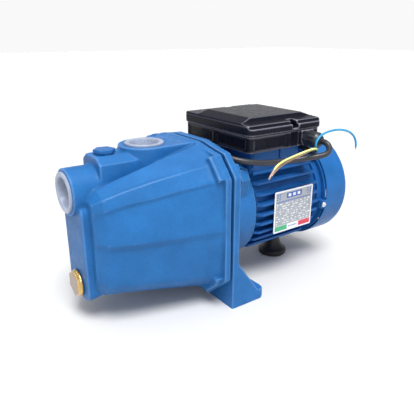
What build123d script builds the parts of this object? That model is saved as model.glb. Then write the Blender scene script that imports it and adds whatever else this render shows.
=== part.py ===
from build123d import *

import os
from math import cos, pi, radians, sin, tan

os.makedirs("parts", exist_ok=True)

# Shallow well jet pump: an iron wet end with the suction port at -X and the delivery port on top, a bracket
# casting that carries both feet, and a fan-cooled motor with its terminal box. +Z is up and the shaft is
# parallel to X. The origin is midway between the two foot bolt holes, on the ground.

# ---- driving dimensions, mm ----
SHAFT_Z = 96

# ports and plugs
PORT_BORE_R = 15.15
PORT_RECESS_R = 17.5
PORT_RECESS_DEPTH = 9.5
PORT_BORE_LENGTH = 13
PORT_RELIEF_R = 17
PORT_RELIEF_DEPTH = 22
CAP_R = 21
CAP_THICK = 2.2
CAP_DEPTH = 9
CAP_WALL = 1.4
CAP_BOSS_R = 6
CAP_GAP = 0.4
SUCTION_MOUTH_X = -178.6
SUCTION_Z = 143.5
SUCTION_BOSS_R = 24.3
SUCTION_BOSS_BACK_X = -149
DELIVERY_X = -88.3
DELIVERY_Z = 181.2
FILLER_X = -134
FILLER_Z = 177
LEDGE_FRONT_X = -149
PORT_PLATE_R = 28
PORT_FACE_R = 24.5
TOP_PADS_BASE_Z = 148
VENT_X = -120.2
VENT_R = 1.9
VENT_HEIGHT = 2.2
VENT_DIMPLE_R = 1
VENT_DIMPLE_DEPTH = 2
DRAIN_Z = 42
PLUG_BORE_R = 8.5
FILLER_ACROSS_FLATS = 20
FILLER_TURN = -12
DRAIN_ACROSS_FLATS = 26
DRAIN_COLLAR_R = 14.8

# pump body casting
NOSE_FACE_X = -173.5
NOSE_HALF_WIDTH = 25
NOSE_BOTTOM_Z = 26
NOSE_TOP_Z = 136
NOSE_CORNER_R = 12
KEEL_BACK_X = -122
KEEL_RISE = 8
BARREL_FRONT_X = -166
PARTITION_FRONT_X = -148
PARTITION_BACK_X = -144
GALLERY_FRONT_X = -170
GALLERY_TOP_X = -156
GALLERY_BOTTOM_Z = 31
GALLERY_HALF_WIDTH = 13
BODY_FLANGE_X = -43
BODY_FLANGE_BACK_X = -35.5
REGISTER_R = 74
REGISTER_CLEARANCE = 0.5
DIFFUSER_ROOM_X = -68
DIFFUSER_ROOM_R = 71
BODY_BOLT_R = 4
BODY_BOLT_HOLE_R = 4.4
BODY_BOLT_LENGTH = 22
BODY_BOLT_HOLE_DEPTH = 14

# motor bracket
BRACKET_X = -32
BRACKET_PLATE = 8
BRACKET_REAR_X = 17
NECK_R = 65
FOOT_HALF_WIDTH = 85.5
FOOT_LENGTH = 48
PAD_HEIGHT = 12.3
FOOT_HOLE_Y = 70
FOOT_HOLE_R = 5.25

# motor
HOUSING_BACK_X = 122.5
HOUSING_BORE_R = 53.5
HOUSING_R = 57
FIN_PITCH = 11.8
FIN_TOP_Z = 129.1
FIN_THICK = 3
FIN_TIPS = (56.5, 62.7, 65.5, 66.2, 64.8, 60.4, 52, 42)
STATOR_X = (34, 104)
STATOR_BORE_R = 31
FRONT_BEARING_X = 4
FRONT_BEARING_R = 20
REAR_BEARING_X = 121
REAR_BEARING_R = 17.5
SEAL_SEAT_R = 13
SEAL_SEAT_BACK_X = -28
TIE_ROD_RADIUS = 50.5
TIE_ROD_R = 2
TIE_ROD_HOLE_R = 2.2
TIE_ROD_FRONT_X = 5
SHIELD_BACK_X = 132
SHIELD_R = 65.2
COVER_R = 67.8
COVER_WALL = 1.6
COVER_BACK_X = 172
NAMEPLATE_X = (43, 105.6)
NAMEPLATE_Z = (66.5, 118.2)
FOOT_REST_X = 107

# terminal box
BOX_X = (5.4, 113.6)
BOX_HALF_WIDTH = 63
BOX_Z = 168
BOX_SPLIT_Z = 186
BOX_TOP_Z = 204
BOX_WALL = 2.2
LID_SCREW_X = 72
GLAND_X = 92
GLAND_Z = 176
GLAND_COLLAR_R = 9.8

# cable
CABLE_DIAMETER = 6.5
CORE_DIAMETER = 2.5


def mirrored(points):
    """Closed outline from one half: the -Y half as given, then its mirror image."""
    return [(-y, z) for y, z in points] + [(y, z) for y, z in reversed(points)]


# ---- pump body casting ----
# One half of the barrel's section at seven stations, from the valley beside the filler ledge over the
# shoulder ridge, along the side band and its step, past the widest line, its undercut and the underside.
BARREL_STATIONS = (
    (BARREL_FRONT_X, ((13, 134), (20, 141), (32, 137), (34, 138), (36, 127), (35, 124), (38, 98), (35, 92),
                      (33, 56), (22, 38))),
    (-157, ((17, 141), (26, 149.5), (42.4, 143.6), (44.6, 144.6), (47, 132.5), (45.6, 129), (50.5, 98),
            (46.5, 91), (43, 48), (27, 32))),
    (-136, ((20, 148), (30, 157.5), (47.5, 150.2), (50, 151), (55, 138.5), (53.4, 135), (61, 98), (56.8, 91),
            (52, 46), (32, 31))),
    (-113, ((24, 156), (35, 165.5), (54.2, 156.2), (56.8, 157), (63, 142), (61.4, 138.5), (67.5, 98),
            (63.4, 91), (57, 44), (37, 28.5))),
    (-84, ((29, 168), (38, 173.5), (60, 161.6), (62, 161.8), (70, 147), (68.4, 143.5), (75, 98), (71.5, 91),
           (64, 41), (42, 24))),
    (-55, ((30, 176), (37, 179), (63, 165.6), (65, 165), (75.2, 150), (74.4, 147), (80.5, 98), (78.5, 91),
           (70, 38), (46, 19))),
    (BODY_FLANGE_X, ((30, 180), (36, 182), (64, 170), (66, 169), (81, 151), (80.6, 147), (84, 98), (83, 91),
                     (77, 36), (50, 13))),
)
BARREL_RADII = [5, 4, 0.6, 0.6, 1.5, 1.5, 2.5, 3, 18, 14]
# The delivery chamber behind the partition, from its narrow front to the round opening in the flange.
CHAMBER_STATIONS = (
    (PARTITION_BACK_X, ((12, 136), (34, 126), (46, 98), (38, 54), (22, 37))),
    (-95, ((20, 150), (50, 142), (63, 98), (50, 46), (28, 31))),
    (-52, ((26, 160), (52, 146), (71, 98), (52, 46), (26, 28))),
)
LEDGE_HALF = ((12.5, FILLER_Z), (22, 170.5), (23.5, 140))
FLANGE_OUTLINE = ((27, 182.5), (55, 177), (66, 175.5), (85.5, 153), (86, 38), (53, 9.4))
UPPER_EAR = ((60, 173), (66, 174.5), (84, 154), (81, 150), (62, 160))
LOWER_EAR = ((54, 20), (60, 16.5), (78, 32), (82, 42), (60, 36))
EAR_DEPTH = 7.5
BOLT_HOLES = [(-70, 157), (70, 157), (-64, 30), (64, 30)]

with BuildPart() as pump_body:
    for station_x, half in BARREL_STATIONS:
        with BuildSketch(Plane.YZ.offset(station_x)):
            with BuildLine():
                FilletPolyline(*mirrored(half), radius=BARREL_RADII + BARREL_RADII[::-1], close=True)
            make_face()
    loft(ruled=True)
    # suction boss and the nose column below it
    with BuildSketch(Plane.YZ.offset(SUCTION_MOUTH_X)):
        with Locations((0, SUCTION_Z)):
            Circle(SUCTION_BOSS_R)
    extrude(amount=SUCTION_BOSS_BACK_X - SUCTION_MOUTH_X)
    with BuildSketch(Plane.YZ.offset(NOSE_FACE_X)):
        with Locations((0, (NOSE_BOTTOM_Z + NOSE_TOP_Z) / 2)):
            Rectangle(2 * NOSE_HALF_WIDTH, NOSE_TOP_Z - NOSE_BOTTOM_Z)
        fillet(vertices(), NOSE_CORNER_R)
    extrude(amount=BARREL_FRONT_X - NOSE_FACE_X + 2)
    # keel from the nose back under the barrel, rising as it goes
    for station_x, rise in ((BARREL_FRONT_X, 0), (KEEL_BACK_X, KEEL_RISE)):
        with BuildSketch(Plane.YZ.offset(station_x)):
            with Locations((0, NOSE_BOTTOM_Z + rise + 20)):
                Rectangle(2 * NOSE_HALF_WIDTH, 40)
            fillet(vertices().group_by(Axis.Y)[0], NOSE_CORNER_R)
    loft(ruled=True)
    # filler ledge with sloping sides, and the plate round the delivery port
    with BuildSketch(Plane.YZ.offset(LEDGE_FRONT_X)):
        with BuildLine():
            Polyline(*mirrored(LEDGE_HALF), close=True)
        make_face()
    extrude(amount=DELIVERY_X - 15 - LEDGE_FRONT_X)
    with BuildSketch(Plane.XY.offset(TOP_PADS_BASE_Z)):
        with Locations((DELIVERY_X, 0)):
            Circle(PORT_PLATE_R)
        with Locations(((DELIVERY_X + BODY_FLANGE_X) / 2, 0)):
            Rectangle(BODY_FLANGE_X - DELIVERY_X, 2 * PORT_PLATE_R - 2)
    extrude(amount=DELIVERY_Z + 0.8 - TOP_PADS_BASE_Z)
    # flange and its four ears
    with BuildSketch(Plane.YZ.offset(BODY_FLANGE_X)):
        with BuildLine():
            FilletPolyline(*mirrored(FLANGE_OUTLINE), radius=6, close=True)
        make_face()
    extrude(amount=BODY_FLANGE_BACK_X - BODY_FLANGE_X)
    for outline in (UPPER_EAR, LOWER_EAR):
        for side in (-1, 1):
            with BuildSketch(Plane.YZ.offset(BODY_FLANGE_X - EAR_DEPTH)):
                with BuildLine():
                    Polyline(*((side * y, z) for y, z in outline), close=True)
                make_face()
            extrude(amount=EAR_DEPTH + 2)
    # delivery chamber
    for station_x, half in CHAMBER_STATIONS:
        with BuildSketch(Plane.YZ.offset(station_x)):
            with BuildLine():
                FilletPolyline(*mirrored(half), radius=6, close=True)
            make_face()
    loft(ruled=True, mode=Mode.SUBTRACT)
    for start_x, radius in (
        (DIFFUSER_ROOM_X, DIFFUSER_ROOM_R),
        (BODY_FLANGE_X, REGISTER_R + REGISTER_CLEARANCE),
    ):
        with BuildSketch(Plane.YZ.offset(start_x)):
            with Locations((0, SHAFT_Z)):
                Circle(radius)
        extrude(amount=BODY_FLANGE_BACK_X - start_x, mode=Mode.SUBTRACT)
    # suction gallery: behind the port, and down the nose column
    with BuildSketch(Plane.XZ.offset(-GALLERY_HALF_WIDTH)):
        with BuildLine():
            Polyline(
                (GALLERY_TOP_X, 152),
                (PARTITION_FRONT_X, 152),
                (PARTITION_FRONT_X, GALLERY_BOTTOM_Z),
                (GALLERY_FRONT_X, GALLERY_BOTTOM_Z),
                (GALLERY_FRONT_X, 110),
                (GALLERY_TOP_X, 122),
                close=True,
            )
        make_face()
    extrude(amount=2 * GALLERY_HALF_WIDTH, mode=Mode.SUBTRACT)
    # low boss beside the filler, with a blind dimple
    with BuildSketch(Plane.XY.offset(FILLER_Z - 1)):
        with Locations((VENT_X, 0)):
            Circle(VENT_R)
    extrude(amount=VENT_HEIGHT + 1)
    # suction port, delivery port, filler, drain, nozzle seat
    with Locations(Plane(origin=(SUCTION_MOUTH_X, 0, SUCTION_Z), x_dir=(0, 1, 0), z_dir=(-1, 0, 0))):
        CounterBoreHole(PORT_BORE_R, PORT_RECESS_R, PORT_RECESS_DEPTH, PORT_RECESS_DEPTH + PORT_BORE_LENGTH)
    with Locations((DELIVERY_X, 0, DELIVERY_Z)):
        CounterBoreHole(PORT_BORE_R, PORT_RECESS_R, PORT_RECESS_DEPTH, PORT_RECESS_DEPTH + PORT_BORE_LENGTH)
    with BuildSketch(Plane.XY.offset(DELIVERY_Z - PORT_RECESS_DEPTH - PORT_BORE_LENGTH)):
        with Locations((DELIVERY_X, 0)):
            Circle(PORT_RELIEF_R)
    extrude(amount=-PORT_RELIEF_DEPTH, mode=Mode.SUBTRACT)
    with BuildSketch(Plane.XY.offset(DELIVERY_Z)):
        with Locations((DELIVERY_X, 0)):
            Circle(PORT_FACE_R)
    extrude(amount=5, mode=Mode.SUBTRACT)
    with Locations((FILLER_X, 0, FILLER_Z)):
        Hole(PLUG_BORE_R, 45)
    with Locations((VENT_X, 0, FILLER_Z + VENT_HEIGHT)):
        Hole(VENT_DIMPLE_R, VENT_DIMPLE_DEPTH)
    with Locations(Plane(origin=(NOSE_FACE_X, 0, DRAIN_Z), x_dir=(0, 1, 0), z_dir=(-1, 0, 0))):
        Hole(PLUG_BORE_R, 12)
    with Locations(Plane(origin=(PARTITION_BACK_X, 0, SHAFT_Z), x_dir=(0, 1, 0), z_dir=(1, 0, 0))):
        Hole(11, PARTITION_BACK_X - PARTITION_FRONT_X)
    # blind bolt holes from the back of the flange into the ears
    with BuildSketch(Plane.YZ.offset(BODY_FLANGE_BACK_X)):
        with Locations(*BOLT_HOLES):
            Circle(BODY_BOLT_R)
    extrude(amount=-BODY_BOLT_HOLE_DEPTH, mode=Mode.SUBTRACT)
pump_body.part.label = "pump_body"
export_step(pump_body.part, "parts/pump_body.step")


# ---- caps, plugs and washers ----
def port_cap(face_plane):
    """Plastic transit cap: a rim that covers the mouth round a dished cup that sits in the port's recess."""
    cup_r = PORT_RECESS_R - CAP_GAP
    wall_r = cup_r - CAP_WALL
    floor_z = CAP_WALL - CAP_DEPTH
    profile_plane = Plane(origin=face_plane.origin, x_dir=face_plane.x_dir, z_dir=-face_plane.y_dir)
    with BuildPart() as cap:
        with BuildSketch(profile_plane):
            with BuildLine():
                Polyline(
                    (0, -CAP_DEPTH),
                    (cup_r, -CAP_DEPTH),
                    (cup_r, 0),
                    (CAP_R, 0),
                    (CAP_R, CAP_THICK - 0.6),
                    (CAP_R - 0.6, CAP_THICK),
                    (wall_r + 1.8, CAP_THICK),
                    (wall_r + 0.6, CAP_THICK - 0.5),
                    (wall_r, CAP_THICK - 2),
                    (wall_r - 1.5, floor_z),
                    (CAP_BOSS_R, floor_z),
                    (CAP_BOSS_R - 1, floor_z + 1.2),
                    (0, floor_z + 1.2),
                    close=True,
                )
            make_face()
        revolve(axis=Axis(face_plane.origin, face_plane.z_dir))
    return cap


SUCTION_PLANE = Plane(origin=(SUCTION_MOUTH_X - 0.05, 0, SUCTION_Z), x_dir=(0, 1, 0), z_dir=(-1, 0, 0))
DELIVERY_PLANE = Plane(origin=(DELIVERY_X, 0, DELIVERY_Z + 0.05))
for name, plane in (("suction_cap", SUCTION_PLANE), ("delivery_cap", DELIVERY_PLANE)):
    cap = port_cap(plane)
    cap.part.label = name
    export_step(cap.part, f"parts/{name}.step")

WASHER_THICK = 1
COLLAR_THICK = 1.2


def hex_plug(seat_plane, across_flats, head_height, shank_length, turn, collar_r):
    """Hexagon-headed pipe plug whose head, turned by that many degrees, stands on a washer or a collar."""
    with BuildPart() as plug:
        with BuildSketch(seat_plane.offset(WASHER_THICK)):
            RegularPolygon(across_flats / 2, 6, major_radius=False, rotation=turn)
        extrude(amount=head_height)
        chamfer(plug.faces().sort_by(Axis(seat_plane.origin, seat_plane.z_dir))[-1].edges(), 0.7)
        if collar_r:
            with BuildSketch(seat_plane.offset(WASHER_THICK)):
                Circle(collar_r)
            extrude(amount=COLLAR_THICK)
        with BuildSketch(seat_plane.offset(WASHER_THICK)):
            Circle(PLUG_BORE_R - 0.35)
        extrude(amount=-shank_length - WASHER_THICK)
    return plug


def plug_washer(seat_plane, across_flats):
    """Flat ring between a plug's head and its seat."""
    with BuildPart() as washer:
        with BuildSketch(seat_plane):
            Circle(across_flats / 2 - 0.3)
            Circle(PLUG_BORE_R - 0.35, mode=Mode.SUBTRACT)
        extrude(amount=WASHER_THICK)
    return washer


FILLER_PLANE = Plane(origin=(FILLER_X, 0, FILLER_Z + 0.05))
DRAIN_PLANE = Plane(origin=(NOSE_FACE_X - 0.05, 0, DRAIN_Z), x_dir=(0, 0, 1), z_dir=(-1, 0, 0))
for name, plane, across_flats, head_height, shank_length, turn, collar_r in (
    ("filler", FILLER_PLANE, FILLER_ACROSS_FLATS, 3.8, 11, FILLER_TURN, 0),
    ("drain", DRAIN_PLANE, DRAIN_ACROSS_FLATS, 5, 7.5, 0, DRAIN_COLLAR_R),
):
    plug = hex_plug(plane, across_flats, head_height, shank_length, turn, collar_r)
    plug.part.label = f"{name}_plug"
    export_step(plug.part, f"parts/{name}_plug.step")
    washer = plug_washer(plane, across_flats)
    washer.part.label = f"{name}_washer"
    export_step(washer.part, f"parts/{name}_washer.step")


# ---- turned parts about the shaft axis ----
axis_plane = Plane(origin=(0, 0, SHAFT_Z), x_dir=(0, 1, 0), z_dir=(1, 0, 0))


def turned(name, half_section):
    """Solid of revolution about the shaft axis from (x, radius) points, written as one sub-part."""
    with BuildPart() as piece:
        with BuildSketch(Plane.XZ):
            with BuildLine():
                Polyline(*((x, SHAFT_Z + radius) for x, radius in half_section), close=True)
            make_face()
        revolve(axis=Axis((0, 0, SHAFT_Z), (1, 0, 0)))
    piece.part.label = name
    export_step(piece.part, f"parts/{name}.step")
    return piece


turned(
    "ejector_nozzle",
    (
        (-164, 4), (-152, 8), (PARTITION_BACK_X + 3, 8), (PARTITION_BACK_X + 3, 14),
        (PARTITION_BACK_X, 14), (PARTITION_BACK_X, 11), (-153, 11), (-164, 6),
    ),
)
turned(
    "venturi_tube",
    ((-141, 11), (-130, 6.5), (-118, 6), (-70, 11), (-70, 13.5), (-118, 9), (-130, 9.5), (-141, 14)),
)
IMPELLER_R = 60
EYE_R = 14
DIFFUSER_X = -66
DIFFUSER_R = 68

with BuildPart() as diffuser:
    with BuildSketch(Plane.XZ):
        with BuildLine():
            Polyline(
                (-70, SHAFT_Z + 13.5),
                (-70, SHAFT_Z + 18),
                (DIFFUSER_X, SHAFT_Z + 20),
                (DIFFUSER_X, SHAFT_Z + DIFFUSER_R),
                (BODY_FLANGE_BACK_X, SHAFT_Z + DIFFUSER_R),
                (BODY_FLANGE_BACK_X, SHAFT_Z + DIFFUSER_R - 4),
                (DIFFUSER_X + 4, SHAFT_Z + DIFFUSER_R - 4),
                (DIFFUSER_X + 4, SHAFT_Z + EYE_R + 4),
                (DIFFUSER_X - 1, SHAFT_Z + EYE_R + 4),
                (DIFFUSER_X - 1, SHAFT_Z + 13.5),
                close=True,
            )
        make_face()
    revolve(axis=Axis((0, 0, SHAFT_Z), (1, 0, 0)))
    # outlet windows in the rim
    with BuildSketch(axis_plane.offset(-57)):
        with PolarLocations(DIFFUSER_R, 6):
            Rectangle(14, 26)
    extrude(amount=14, mode=Mode.SUBTRACT)
diffuser.part.label = "diffuser"
export_step(diffuser.part, "parts/diffuser.step")

IMPELLER_FRONT_X = -58
IMPELLER_BACK_X = -46
IMPELLER_HUB_R = 11
SHAFT_NOSE_R = 6
with BuildSketch() as blade_section:
    with BuildLine():
        ThreePointArc((15, -1), (40, 13), (52, 28))
        Line((52, 28), (51, 30))
        ThreePointArc((51, 30), (39, 15), (14, 1))
        Line((14, 1), (15, -1))
    make_face()

with BuildPart() as impeller:
    with BuildSketch(Plane.YZ.offset(IMPELLER_FRONT_X)):
        with Locations((0, SHAFT_Z)):
            Circle(IMPELLER_R)
            Circle(EYE_R, mode=Mode.SUBTRACT)
    extrude(amount=1.8)
    with BuildSketch(Plane.YZ.offset(IMPELLER_FRONT_X - 5)):
        with Locations((0, SHAFT_Z)):
            Circle(EYE_R + 3)
            Circle(EYE_R, mode=Mode.SUBTRACT)
    extrude(amount=5)
    with BuildSketch(Plane.YZ.offset(IMPELLER_BACK_X - 2)):
        with Locations((0, SHAFT_Z)):
            Circle(IMPELLER_R)
    extrude(amount=2)
    with BuildSketch(Plane.YZ.offset(IMPELLER_FRONT_X + 2)):
        with Locations((0, SHAFT_Z)):
            Circle(IMPELLER_HUB_R)
    extrude(amount=IMPELLER_BACK_X - IMPELLER_FRONT_X + 2)
    # swept-back blades between the two shrouds
    with BuildSketch(axis_plane.offset(IMPELLER_FRONT_X + 1)):
        with PolarLocations(0, 6):
            add(blade_section.sketch)
    extrude(amount=IMPELLER_BACK_X - IMPELLER_FRONT_X - 2)
    with Locations(Plane(origin=(IMPELLER_BACK_X + 2, 0, SHAFT_Z), x_dir=(0, 1, 0), z_dir=(1, 0, 0))):
        Hole(SHAFT_NOSE_R)
impeller.part.label = "impeller"
export_step(impeller.part, "parts/impeller.step")

with BuildPart() as impeller_nut:
    with BuildSketch(Plane.YZ.offset(-63)):
        with Locations((0, SHAFT_Z)):
            RegularPolygon(8, 6, major_radius=False)
            Circle(SHAFT_NOSE_R, mode=Mode.SUBTRACT)
    extrude(amount=7)
impeller_nut.part.label = "impeller_nut"
export_step(impeller_nut.part, "parts/impeller_nut.step")

turned("seal_rotary", ((-42, 7), (-36, 7), (-36, 11), (-38, 11), (-38, 12.5), (-42, 12.5)))
turned(
    "seal_seat",
    ((-35.5, 8.2), (SEAL_SEAT_BACK_X, 8.2), (SEAL_SEAT_BACK_X, SEAL_SEAT_R), (-35.5, SEAL_SEAT_R)),
)
GASKET_R = (74.6, 77)
turned(
    "body_gasket",
    (
        (BODY_FLANGE_BACK_X, GASKET_R[0]), (BRACKET_X, GASKET_R[0]),
        (BRACKET_X, GASKET_R[1]), (BODY_FLANGE_BACK_X, GASKET_R[1]),
    ),
)

# ---- motor bracket: flange plate, feet with gussets, and the round neck towards the motor ----
BRACKET_OUTLINE = ((27, 182.5), (55, 177), (66, 175.5), (85.5, 153), (FOOT_HALF_WIDTH, 0), (38, 0), (34, 8))
BRACKET_RADII = [6, 6, 6, 6, 1, 1, 3]
NECK_LUG = ((40, 140), (40, 151), (58, 151), (64, 140), (60, 118))
GUSSET_THICK = 7.5
PAD_WIDTH = 34
ROD_ANGLES = (45, 135, 225, 315)
with BuildPart() as motor_bracket:
    with BuildSketch(Plane.YZ.offset(BRACKET_X)):
        with BuildLine():
            FilletPolyline(*mirrored(BRACKET_OUTLINE), radius=BRACKET_RADII + BRACKET_RADII[::-1], close=True)
        make_face()
    extrude(amount=BRACKET_PLATE)
    with BuildSketch(Plane.YZ.offset(BODY_FLANGE_BACK_X)):
        with Locations((0, SHAFT_Z)):
            Circle(REGISTER_R)
    extrude(amount=BRACKET_X - BODY_FLANGE_BACK_X)
    # foot pads with rounded ends, and a sloping gusset on each outer edge
    for side in (-1, 1):
        with BuildSketch(Plane.XY):
            with Locations((BRACKET_X + FOOT_LENGTH / 2, side * (FOOT_HALF_WIDTH - PAD_WIDTH / 2))):
                Rectangle(FOOT_LENGTH, PAD_WIDTH)
            fillet(vertices().group_by(Axis.X)[-1], 8)
        extrude(amount=PAD_HEIGHT)
        with BuildSketch(Plane.XZ.offset(-side * (FOOT_HALF_WIDTH - GUSSET_THICK))):
            with BuildLine():
                Polyline(
                    (BRACKET_X + BRACKET_PLATE - 1, 56),
                    (BRACKET_X + 30, 23.7),
                    (BRACKET_X + 38, PAD_HEIGHT),
                    (BRACKET_X + 30, PAD_HEIGHT - 4),
                    (BRACKET_X + BRACKET_PLATE - 1, PAD_HEIGHT - 4),
                    close=True,
                )
            make_face()
        extrude(amount=-side * GUSSET_THICK)
    # neck, narrower just behind the plate, with a lug at each upper corner
    with BuildSketch(Plane.XZ):
        with BuildLine():
            Polyline(
                (BRACKET_X + BRACKET_PLATE, SHAFT_Z),
                (BRACKET_X + BRACKET_PLATE, SHAFT_Z + NECK_R - 6),
                (BRACKET_X + BRACKET_PLATE + 5, SHAFT_Z + NECK_R - 6),
                (BRACKET_X + BRACKET_PLATE + 5, SHAFT_Z + NECK_R - 3),
                (BRACKET_X + BRACKET_PLATE + 8, SHAFT_Z + NECK_R),
                (BRACKET_REAR_X, SHAFT_Z + NECK_R),
                (BRACKET_REAR_X, SHAFT_Z),
                close=True,
            )
        make_face()
    revolve(axis=Axis((0, 0, SHAFT_Z), (1, 0, 0)))
    for side in (-1, 1):
        with BuildSketch(Plane.YZ.offset(-5)):
            with BuildLine():
                Polyline(*((side * y, z) for y, z in NECK_LUG), close=True)
            make_face()
        extrude(amount=12)
    # spigot that centres the motor housing
    with BuildSketch(Plane.YZ.offset(BRACKET_REAR_X)):
        with Locations((0, SHAFT_Z)):
            Circle(HOUSING_BORE_R)
    extrude(amount=3)
    # hollow neck, bearing seat, shaft passage and seal seat
    for start_x, end_x, radius in (
        (-20, 2, 48),
        (FRONT_BEARING_X, 20.1, FRONT_BEARING_R),
        (-36, 21, 9.5),
        (-36, SEAL_SEAT_BACK_X, SEAL_SEAT_R),
        (16, 20.1, 46),
    ):
        with BuildSketch(axis_plane.offset(start_x)):
            Circle(radius)
        extrude(amount=end_x - start_x, mode=Mode.SUBTRACT)
    # drip slot below the neck, foot bolt holes, body bolt holes and tie rod holes
    with Locations((-9, 0, SHAFT_Z - 55)):
        Box(18, 30, 30, mode=Mode.SUBTRACT)
    with Locations((0, -FOOT_HOLE_Y, PAD_HEIGHT), (0, FOOT_HOLE_Y, PAD_HEIGHT)):
        Hole(FOOT_HOLE_R, PAD_HEIGHT)
    with BuildSketch(Plane.YZ.offset(BRACKET_X)):
        with Locations(*BOLT_HOLES):
            Circle(BODY_BOLT_HOLE_R)
    extrude(amount=BRACKET_PLATE, mode=Mode.SUBTRACT)
    with BuildSketch(axis_plane.offset(FRONT_BEARING_X)):
        with PolarLocations(TIE_ROD_RADIUS, 4, start_angle=ROD_ANGLES[0]):
            Circle(TIE_ROD_HOLE_R)
    extrude(amount=17, mode=Mode.SUBTRACT)
motor_bracket.part.label = "motor_bracket"
export_step(motor_bracket.part, "parts/motor_bracket.step")

for number, (bolt_y, bolt_z) in enumerate(BOLT_HOLES, 1):
    with BuildPart() as body_bolt:
        with BuildSketch(Plane.YZ.offset(BRACKET_X + BRACKET_PLATE)):
            with Locations((bolt_y, bolt_z)):
                RegularPolygon(6.5, 6, major_radius=False)
        extrude(amount=5.3)
        with BuildSketch(Plane.YZ.offset(BRACKET_X + BRACKET_PLATE)):
            with Locations((bolt_y, bolt_z)):
                Circle(BODY_BOLT_R)
        extrude(amount=-BODY_BOLT_LENGTH)
    body_bolt.part.label = f"body_bolt_{number}"
    export_step(body_bolt.part, f"parts/body_bolt_{number}.step")

# ---- motor housing: tube with flat fins at both sides and a saddle for the terminal box ----
FINS_FRONT_X = 20.6
FINS_BACK_X = 118
SADDLE_X = (19, 96)
PLATE_FIN = 3
RIVET_INSET = 3.5
RIVET_R = 0.9
RIVET_Z = FIN_TOP_Z - PLATE_FIN * FIN_PITCH
RIVET_SPOTS = ((NAMEPLATE_X[0] + RIVET_INSET, RIVET_Z), (NAMEPLATE_X[1] - RIVET_INSET, RIVET_Z))
BEAD_Z = 141
BEAD_THICK = 2.6
SADDLE_BASE_Z = 140
SADDLE_HALF_WIDTH = 50
SADDLE_PLATE_Z = 148
FOOT_BOSS_Z = (36, 48)
with BuildPart() as motor_housing:
    with BuildSketch(Plane.YZ.offset(BRACKET_REAR_X)):
        with Locations((0, SHAFT_Z)):
            Circle(HOUSING_R)
    extrude(amount=HOUSING_BACK_X - BRACKET_REAR_X)
    for index, tip in enumerate(FIN_TIPS):
        with BuildSketch(Plane.XY.offset(FIN_TOP_Z - index * FIN_PITCH - FIN_THICK / 2)):
            with Locations(((FINS_FRONT_X + FINS_BACK_X) / 2, 0)):
                Rectangle(FINS_BACK_X - FINS_FRONT_X, 2 * tip)
            chamfer(vertices().group_by(Axis.X)[0], 5)
        extrude(amount=FIN_THICK)
    # round beads along both shoulders and the web that ties them to the tube
    for side in (-1, 1):
        with BuildSketch(Plane.YZ.offset(FINS_FRONT_X)):
            with Locations((side * 50, BEAD_Z)):
                Circle(BEAD_THICK)
            with Locations((side * 42, BEAD_Z)):
                Rectangle(16, BEAD_THICK)
        extrude(amount=FINS_BACK_X - FINS_FRONT_X - 6)
    # saddle: a wide plate, the block below the box and an oval pad on its side
    with BuildSketch(Plane.XY.offset(SADDLE_PLATE_Z)):
        with Locations(((FINS_FRONT_X + FINS_BACK_X) / 2 - 3, 0)):
            Rectangle(FINS_BACK_X - FINS_FRONT_X - 6, 2 * SADDLE_HALF_WIDTH + 4)
    extrude(amount=3)
    with BuildSketch(Plane.XY.offset(SADDLE_BASE_Z)):
        with Locations(((SADDLE_X[0] + SADDLE_X[1]) / 2, 0)):
            Rectangle(SADDLE_X[1] - SADDLE_X[0], 2 * SADDLE_HALF_WIDTH)
        fillet(vertices(), 5)
    extrude(amount=BOX_Z - SADDLE_BASE_Z)
    for side in (-1, 1):
        with BuildSketch(Plane.XZ.offset(-side * (SADDLE_HALF_WIDTH - 1))):
            with Locations((69.5, 159)):
                RectangleRounded(15, 16, 6)
        extrude(amount=-side * 2.5)
    # boss for the rear rubber foot
    with BuildSketch(Plane.XY.offset(FOOT_BOSS_Z[0])):
        with Locations((FOOT_REST_X, 0)):
            Circle(10)
    extrude(amount=FOOT_BOSS_Z[1] - FOOT_BOSS_Z[0])
    # bore, foot screw hole and rivet holes
    with BuildSketch(Plane.YZ.offset(BRACKET_REAR_X)):
        with Locations((0, SHAFT_Z)):
            Circle(HOUSING_BORE_R)
    extrude(amount=HOUSING_BACK_X - BRACKET_REAR_X, mode=Mode.SUBTRACT)
    with Locations((FOOT_REST_X, 0, FOOT_BOSS_Z[1])):
        Hole(3, 13)
    for rivet_x, rivet_z in RIVET_SPOTS:
        rivet_hole_top = (rivet_x, -FIN_TIPS[PLATE_FIN], rivet_z)
        with Locations(Plane(origin=rivet_hole_top, x_dir=(1, 0, 0), z_dir=(0, -1, 0))):
            Hole(RIVET_R, 5)
motor_housing.part.label = "motor_housing"
export_step(motor_housing.part, "parts/motor_housing.step")

# ---- motor internals ----
with BuildPart() as stator_core:
    with BuildSketch(Plane.YZ.offset(STATOR_X[0])):
        with Locations((0, SHAFT_Z)):
            Circle(HOUSING_BORE_R)
            Circle(STATOR_BORE_R, mode=Mode.SUBTRACT)
            with PolarLocations(TIE_ROD_RADIUS, 4, start_angle=ROD_ANGLES[0]):
                Circle(TIE_ROD_HOLE_R, mode=Mode.SUBTRACT)
            with PolarLocations(36, 24):
                Rectangle(9, 3, mode=Mode.SUBTRACT)
    extrude(amount=STATOR_X[1] - STATOR_X[0])
stator_core.part.label = "stator_core"
export_step(stator_core.part, "parts/stator_core.step")

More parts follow.
